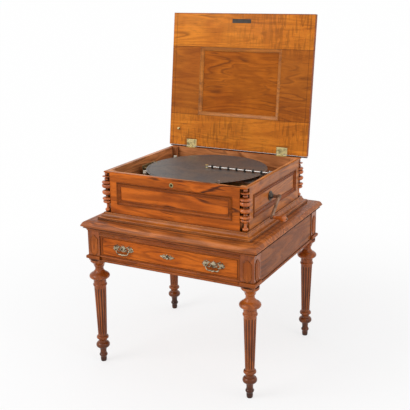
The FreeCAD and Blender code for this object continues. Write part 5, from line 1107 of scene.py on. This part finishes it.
class MUSICBOX_OT_lid_fittings(bpy.types.Operator):
    """Hinges, lock keeper and stay lug of the lid, and the lock and keyhole of the case"""

    bl_idname = "musicbox.lid_fittings"
    bl_label = "Lid fittings"

    def execute(self, context):
        metals = context.scene.metal_colours
        brass = worn_metal("aged_brass", tuple(metals.brass), 0.26, 0.7, grain=300.0)
        iron = worn_metal("keeper_iron", shade(tuple(metals.iron), 1.7), 0.4, 0.4)
        dull = worn_metal("keyhole_brass", shade(tuple(metals.brass), 0.62), 0.3, 0.8, grain=300.0)
        paint(iron, "case_lock")
        # Painted shadow: the bead is dark and matte to stand in for the shade in the gap under the lid.
        self.back_bead(walnut("lid_bead_shadow_walnut", shade(tuple(context.scene.wood_colours.turned), 0.5), "x", 26.0, wear=0.0, sheen=0.02, polish=0.0))
        self.hinges(brass)
        self.keeper(iron)
        stud = Shape()
        outline = [(0.5, 5.2), (-1.0, 5.2), (-1.6, 3.2), (-5.0, 2.6), (-6.0, 3.9), (-8.2, 3.9), (-9.0, 2.4)]
        lathe(stud, outline, 24, hung(placed(-288, -78, 0)))
        stud.piece("stay_lug_turned", brass, "lid", "brass", ["stay_lug"])
        self.keyhole(dull, worn_metal("keyhole_shadow_black", (0.012, 0.010, 0.009), 0.7, 0.2))
        return {"FINISHED"}

    def back_bead(self, wood):
        """A small bead along the back edge of the lid, which closes the line of light under it when it stands open; its
        dark, matte wood is painted shadow of the gap there.
        """
        shape = Shape()
        section = [(-1.0, 5.0), (1.6, 5.0), (2.6, 6.2), (2.6, 19.0), (1.6, 20.2), (-1.0, 20.2)]
        ends = [[(x * MM, out * MM, up * MM) for out, up in section] for x in (-332, 332)]
        shape.loops(ends)
        shape.moved(hung())
        shape.piece("lid_back_bead", wood, "lid", "dark_wood", bevel=0.0006)

    def hinges(self, brass):
        lid, case = Shape(), Shape()
        for side in (-1, 1):
            x = side * 220
            lid.block(((x - 25) * MM, -0.034, 0.0), ((x + 25) * MM, -0.0042, 0.0015))
            lid.block(((x - 8) * MM, -0.0046, 0.0), ((x + 8) * MM, -0.0005, 0.0015))
            case.block(((x - 25) * MM, 0.264, 0.8212), ((x + 25) * MM, 0.2779, 0.8227))
            for number in (-1, 1):
                low = min(x + number * 8.3, x + number * 24.3)
                case.block((low * MM, 0.2775, 0.8212), ((low + 16) * MM, 0.2821, 0.8227))
                lathe(case, [(0, 3.2), (0.4, 3.4), (15.6, 3.4), (16, 3.2)], 24, placed(low, 282.1, 823, "x"))
                lathe(case, [(0, 1.2), (0.8, 2.0), (1.2, 1.0)], 16, placed(x + number * 24.3, 282.1, 823, "x"))
        for side in (-1, 1):
            lathe(lid, [(-8, 3.2), (-7.6, 3.4), (7.6, 3.4), (8, 3.2)], 24, placed(side * 220, 0, 0, "x"))
            for a, b in ((-17, -27), (0, -18), (17, -27)):
                screw(lid, placed(side * 220 + a, b, 0.35) @ Matrix.Rotation(math.pi, 4, "X") @ placed(0, 0, 0, "z", 0.7 * a), 2.7)
        lid.moved(hung())
        lid.piece("hinge_lid_leaves_brass", brass, "lid", "brass", ["hinge_lid_leaves"], bevel=0.0003)
        case.piece("hinge_case_leaves_brass", brass, "case_and_stand", "brass", ["hinge_case_leaves"], bevel=0.0003)

    def keeper(self, iron):
        shape = Shape()
        y = -3.9 - 590 + 24
        outline = [(-44, y), (44, y), (44, y + 17), (-44, y + 17)]
        shape.loops([[(a * MM, b * MM, c) for a, b in outline] for c in (-0.0001, 0.0014)])
        for a in (-37, 37):
            screw(shape, placed(a, y + 8.5, 0.35) @ Matrix.Rotation(math.pi, 4, "X"), 3.0)
        for a in (-16, 16):
            hook = [(a - 3.5, y + 5), (a + 3.5, y + 5), (a + 3.5, y + 12), (a - 3.5, y + 12)]
            shape.loops([[(p * MM, q * MM, c) for p, q in hook] for c in (-0.0002, 0.0005)])
        shape.moved(hung())
        shape.piece("lock_keeper_plate", iron, "lid", "brass", ["lock_keeper"], bevel=0.0004)

    def keyhole(self, brass, black):
        shape = Shape()
        rings = []
        for place, radius in ((-0.6, 9), (0.6, 9), (1.0, 8.4), (1.0, 6.4), (0.4, 4.6), (-1.0, 3.8), (-3.0, 3.4)):
            turn = [2 * math.pi * i / 32 for i in range(32)]
            rings.append([(radius * MM * math.cos(a), radius * MM * math.sin(a), place * MM) for a in turn])
        shape.loops(rings, caps=False)
        shape.moved(placed(-3, -278.2, 798, "-y"))
        shape.piece("keyhole_bush_brass", brass, "case_and_stand", "brass", ["keyhole_bush"])
        # Painted shade: a near-black well stands in for the dark inside the keyhole.
        well = Shape()
        lathe(well, [(-4, 3.6), (-2.2, 3.6), (-2.0, 3.3)], 24, placed(-3, -278.2, 798, "-y"))
        well.piece("keyhole_shadow_well", black, "case_and_stand", "black_iron")


class MUSICBOX_OT_crank(bpy.types.Operator):
    """The winding crank with its boss and its turned grip"""

    bl_idname = "musicbox.crank"
    bl_label = "Crank"

    def execute(self, context):
        metals = context.scene.metal_colours
        # Partly painted reflection: the arm's iron is tinted a lighter, warmer brown than the hub, carrying the reddish
        # wood it reflects along with its own brown.
        iron = worn_metal("crank_iron_reflection_tint", (0.34, 0.19, 0.115), 0.3, 0.7, metallic=0.8, dark=(0.05, 0.026, 0.014))
        hub = worn_metal("crank_hub_iron", (0.13, 0.105, 0.085), 0.3, 0.7, metallic=0.8, dark=(0.02, 0.014, 0.01))
        y, z = -47.1, 737.0
        rose = Shape()
        outline = [(-0.2, 19), (2.2, 19), (3.2, 18), (3.2, 16), (2.4, 15), (2.6, 12.4), (5.0, 11), (12.2, 9.4), (13, 8.6)]
        lathe(rose, outline, 48, placed(307.7, y, z, "x"))
        for k in range(3):
            turn = math.radians(90 + 120 * k)
            at = placed(310.5, y + 13.6 * math.cos(turn), z + 13.6 * math.sin(turn), "x", turn)
            screw(rose, at, 1.9)
        rose.piece("crank_rose", hub, "case_and_stand", "black_iron", ["crank_escutcheon"])
        arm = Shape()
        turn = math.radians(222)
        reach = 94
        lathe(arm, [(-106.5, 4.6), (-106, 5), (321, 5), (322, 6.4), (341, 6.4)], 24, placed(0, y, z, "x"))
        self.arm(arm, y, z, turn, reach)
        gy, gz = y + reach * math.cos(turn), z + reach * math.sin(turn)
        lathe(arm, [(343.5, 2.5), (406.4, 2.5), (406.5, 4.4), (408, 4.0), (409, 2.0)], 20, placed(0, gy, gz, "x"))
        lathe(arm, [(338.5, 6), (340, 9.6), (349.5, 9.6), (351, 6.5), (352.2, 6.0)], 28, placed(0, y, z, "x"))
        lathe(arm, [(339.4, 7), (340.6, 9.2), (349.4, 9.2), (350.4, 7.8)], 28, placed(0, gy, gz, "x"))
        self.pinion(arm, y, z)
        arm.piece("crank_arm", iron, "crank", "black_iron", ["crank_shaft"], bevel=0.0004)
        wood = walnut(
            "grip_walnut", shade(tuple(context.scene.wood_colours.turned), 2.0), "x", 50.0, 0.5, gloss=0.12, wear=0.8,
            sheen=0.3, polish=0.5,
        )
        grip = Shape()
        lathe(grip, smooth_outline(GRIP_OUTLINE, 6), 40, placed(351, gy, gz, "x"))
        grip.piece("crank_grip_turned", wood, "grip", "case_wood", ["crank_grip"])
        return {"FINISHED"}

    def arm(self, shape, y, z, turn, reach):
        """A forged arm, narrower in the middle than at its eyes."""
        rings = []
        for k in range(13):
            t = k / 12
            half = 8.6 - 1.8 * math.sin(math.pi * t)
            back, face = 340.4, 349.0
            cy, cz = y + reach * t * math.cos(turn), z + reach * t * math.sin(turn)
            ring = []
            for x, s in ((back, -1), (face - 1.2, -1), (face, -0.8), (face, 0.8), (face - 1.2, 1), (back, 1)):
                ring.append((x * MM, (cy - s * half * math.sin(turn)) * MM, (cz + s * half * math.cos(turn)) * MM))
            rings.append(ring)
        shape.loops(rings)

    def pinion(self, shape, y, z):
        """The pinion on the winding shaft, with a gap between two teeth towards the wheel it turns."""
        low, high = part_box("winding_wheel")
        wheel_y, wheel_z = (low[1] + high[1]) / 2 / MM, (low[2] + high[2]) / 2 / MM
        gap = math.degrees(math.atan2(wheel_z - z, wheel_y - y))
        outline = []
        for k in range(6):
            for offset, reach in ((-18, 8.6), (-5.5, 14.6), (5.5, 14.6), (18, 8.6)):
                angle = math.radians(60 * k + offset + 30 + gap)
                outline.append((reach * math.cos(angle), reach * math.sin(angle)))
        rings = [[(x * MM, (y + a) * MM, (z + b) * MM) for a, b in outline] for x in (-97.5, -92.5)]
        shape.loops(rings)


class MUSICBOX_OT_disc(bpy.types.Operator):
    """The tune disc with its drive holes"""

    bl_idname = "musicbox.disc"
    bl_label = "Tune disc"

    def execute(self, context):
        centre = (0.004, 0.003)
        steel = disc_face("tarnished_disc", tuple(context.scene.metal_colours.disc), centre)
        steps, holes = 480, 60
        radii = [3.26, 12.0, 60.0, 120.0, 180.0, 228.0, 237.0, 243.0, 248.6, 249.0]
        shape = Shape()
        per_hole = steps // holes
        corners, faces = [], []
        for height in (805.5, 806.5):
            for k, radius in enumerate(radii):
                lift = 0.0
                if k == len(radii) - 1:
                    lift = 0.12 if height == 805.5 else -0.12
                for i in range(steps):
                    angle = 2 * math.pi * (i - 1) / steps
                    x, y = radius * math.cos(angle), radius * math.sin(angle)
                    corners.append(((4 + x) * MM, (3 + y) * MM, (height + lift) * MM))
        rows = len(radii)
        spot = lambda layer, k, i: layer * rows * steps + k * steps + i % steps
        is_hole = lambda k, i: radii[k] == 237.0 and i % per_hole in (0, 1)
        for i in range(steps):
            for k in range(rows - 1):
                if is_hole(k, i):
                    for a, b in (((k, i), (k, i + 1)), ((k + 1, i), (k + 1, i + 1))):
                        faces.append([spot(0, *a), spot(0, *b), spot(1, *b), spot(1, *a)])
                    continue
                for layer in (0, 1):
                    faces.append([spot(layer, k, i), spot(layer, k + 1, i), spot(layer, k + 1, i + 1), spot(layer, k, i + 1)])
                for j in (i - 1, i + 1):
                    if radii[k] == 237.0 and is_hole(k, j % steps):
                        at = i if j < i else i + 1
                        faces.append([spot(0, k, at), spot(0, k + 1, at), spot(1, k + 1, at), spot(1, k, at)])
            for k in (0, rows - 1):
                faces.append([spot(0, k, i), spot(0, k, i + 1), spot(1, k, i + 1), spot(1, k, i)])
        shape.add(corners, faces)
        shape.piece("tune_disc_sheet", steel, "disc", "disc_steel", ["tune_disc"], smooth=25.0)
        return {"FINISHED"}


class MUSICBOX_OT_bar(bpy.types.Operator):
    """The pressure bar, its rollers and the catch knob over the spindle"""

    bl_idname = "musicbox.bar"
    bl_label = "Pressure bar"

    def execute(self, context):
        metals = context.scene.metal_colours
        steel = worn_metal("bright_steel", tuple(metals.steel), 0.2, 0.25)
        black = worn_metal("black_rubber", tuple(metals.iron), 0.42, 0.3, metallic=0.6)
        brass = worn_metal("knob_brass", shade(tuple(metals.brass), 1.1), 0.22, 0.35)
        bar = Shape()
        axis = 814.0
        lathe(bar, [(11.5, 2.5), (279.5, 2.5)], 20, placed(0, 3, axis, "x"))
        lathe(bar, [(-5, 4.4), (-4.6, 5), (4.6, 5), (5, 4.4)], 28, placed(283.7, 3, axis, "y"))
        lathe(bar, [(-2.5, 3.9), (2.5, 3.9)], 24, placed(4, 3, axis))
        bar.block((0.004, 0.001, 0.8115), (0.0125, 0.005, 0.8165))
        for k in range(6):
            x = 26 + 36.5 * k + 7.2
            lathe(bar, [(0, 2.9), (0.4, 3.4), (1.8, 3.4), (2.2, 2.9)], 20, placed(x, 3, axis, "x"))
            lathe(bar, [(0, 2.9), (0.4, 3.4), (1.8, 3.4), (2.2, 2.9)], 20, placed(x + 27.0, 3, axis, "x"))
        bar.piece("pressure_bar_rod", steel, "bar", "bright_steel", ["pressure_bar"])
        rollers = Shape()
        for k in range(7):
            outline = [(0, 2.6), (0, 5.6), (0.8, 7.0), (1.5, 7.2), (5.5, 7.2), (6.2, 7.0), (7, 5.6), (7, 2.6)]
            self.hollow_turn(rollers, outline, placed(26 + 36.5 * k, 3, axis, "x"))
        rollers.piece("pressure_rollers_turned", black, "bar_rollers", "black_iron", ["pressure_rollers"])
        knob = Shape()
        outline = [(807.1, 4.4), (807.4, 5.0), (810.6, 5.0), (811.1, 4.6), (811.2, 1.5), (816.8, 1.5), (816.9, 5.2)]
        outline += [(817.3, 6.6), (818.2, 7.0), (819.8, 6.8), (821.0, 5.2), (821.5, 2.5)]
        lathe(knob, outline, 32, placed(4, 3, 0))
        knob.piece("catch_knob_turned", brass, "catch", "brass", ["catch_knob"])
        return {"FINISHED"}

    def hollow_turn(self, shape, outline, matrix, facets=28):
        start = len(shape.corners)
        rings = []
        for place, radius in outline + outline[:1]:
            turn = [2 * math.pi * i / facets for i in range(facets)]
            rings.append([(radius * MM * math.cos(a), radius * MM * math.sin(a), place * MM) for a in turn])
        shape.loops(rings, caps=False)
        shape.moved(matrix, start)


class MUSICBOX_OT_works(bpy.types.Operator):
    """Metals of the bedplate, combs, star wheels, motor and brackets, with the guide rollers and start lever"""

    bl_idname = "musicbox.works"
    bl_label = "Music work"

    def execute(self, context):
        metals = context.scene.metal_colours
        bronze = worn_metal("bronzed_bed", tuple(metals.bronze), 0.42, 0.4, metallic=0.6)
        steel = worn_metal("work_steel", tuple(metals.steel), 0.26, 0.35)
        brass = worn_metal("work_brass", tuple(metals.brass), 0.3, 0.35)
        bone = worn_metal("guide_bone", tuple(metals.bone), 0.4, 0.25, metallic=0.0, dark=(0.35, 0.27, 0.16))
        paint(bronze, "bedplate", "motor_frame", "comb_stand")
        paint(steel, "music_combs", "star_wheels", "movement_brackets", "governor_fly")
        paint(brass, "spring_barrel", "drive_arbor", "winding_wheel")
        for name, x, y in (("back", -217.96, 131.15), ("front", -192.34, -161.75)):
            roller = Shape()
            outline = [(800.5, 2.06), (800.5, 6.2), (801.0, 7.0), (805.0, 7.0), (806, 6.4), (807, 7.0), (811, 7.0)]
            outline += [(811.5, 6.2), (811.5, 2.06)]
            MUSICBOX_OT_bar.hollow_turn(self, roller, outline, placed(x, y, 0))
            roller.piece(f"guide_roller_{name}_turned", bone, f"guide_{name}", "ivory", [f"guide_roller_{name}"])
        lever = Shape()
        path = curve_through([(165, -257.8, 775), (165, -232, 775), (165, -211, 776), (165, -207.6, 780)], 6)
        path += curve_through([(165, -207, 786), (165, -207, 800), (165, -207, 817)], 4)
        tube(lever, path, 2.3, 16)
        lathe(lever, [(815.5, 2.3), (816.2, 2.9), (818.2, 2.9), (819, 2.0)], 16, placed(165, -207, 0))
        lever.piece("start_lever_bent", steel, "start", "bright_steel", ["start_lever"])
        return {"FINISHED"}


# Add-on


class MUSICBOX_PT_panel(bpy.types.Panel):
    """Lists the pieces of the music box"""

    bl_idname = "MUSICBOX_PT_panel"
    bl_label = "Music box"
    bl_space_type = "VIEW_3D"
    bl_region_type = "UI"
    bl_category = "Music box"

    def draw(self, context):
        for operator in OPERATORS:
            self.layout.operator(operator.bl_idname)
        for group in (context.scene.wood_colours, context.scene.metal_colours, context.scene.turning_sizes):
            box = self.layout.box()
            for name in group.bl_rna.properties.keys():
                if name not in {"rna_type", "name"}:
                    box.prop(group, name)


GROUPS = {
    "wood_colours": WoodColours,
    "metal_colours": MetalColours,
    "turning_sizes": TurningSizes,
    "stage_light": StageLight,
}
OPERATORS = (
    MUSICBOX_OT_stage,
    MUSICBOX_OT_boards,
    MUSICBOX_OT_mouldings,
    MUSICBOX_OT_legs,
    MUSICBOX_OT_spindles,
    MUSICBOX_OT_drawer_fittings,
    MUSICBOX_OT_lid_fittings,
    MUSICBOX_OT_crank,
    MUSICBOX_OT_disc,
    MUSICBOX_OT_bar,
    MUSICBOX_OT_works,
)


def register():
    for thing in (*GROUPS.values(), *OPERATORS, MUSICBOX_PT_panel):
        bpy.utils.register_class(thing)
    for name, group in GROUPS.items():
        setattr(bpy.types.Scene, name, PointerProperty(type=group))


def unregister():
    for name in GROUPS:
        delattr(bpy.types.Scene, name)
    for thing in (MUSICBOX_PT_panel, *reversed(OPERATORS), *reversed(GROUPS.values())):
        bpy.utils.unregister_class(thing)


def main():
    register()
    for operator in OPERATORS:
        group, name = operator.bl_idname.split(".")
        getattr(getattr(bpy.ops, group), name)()


if __name__ == "__main__":
    main()
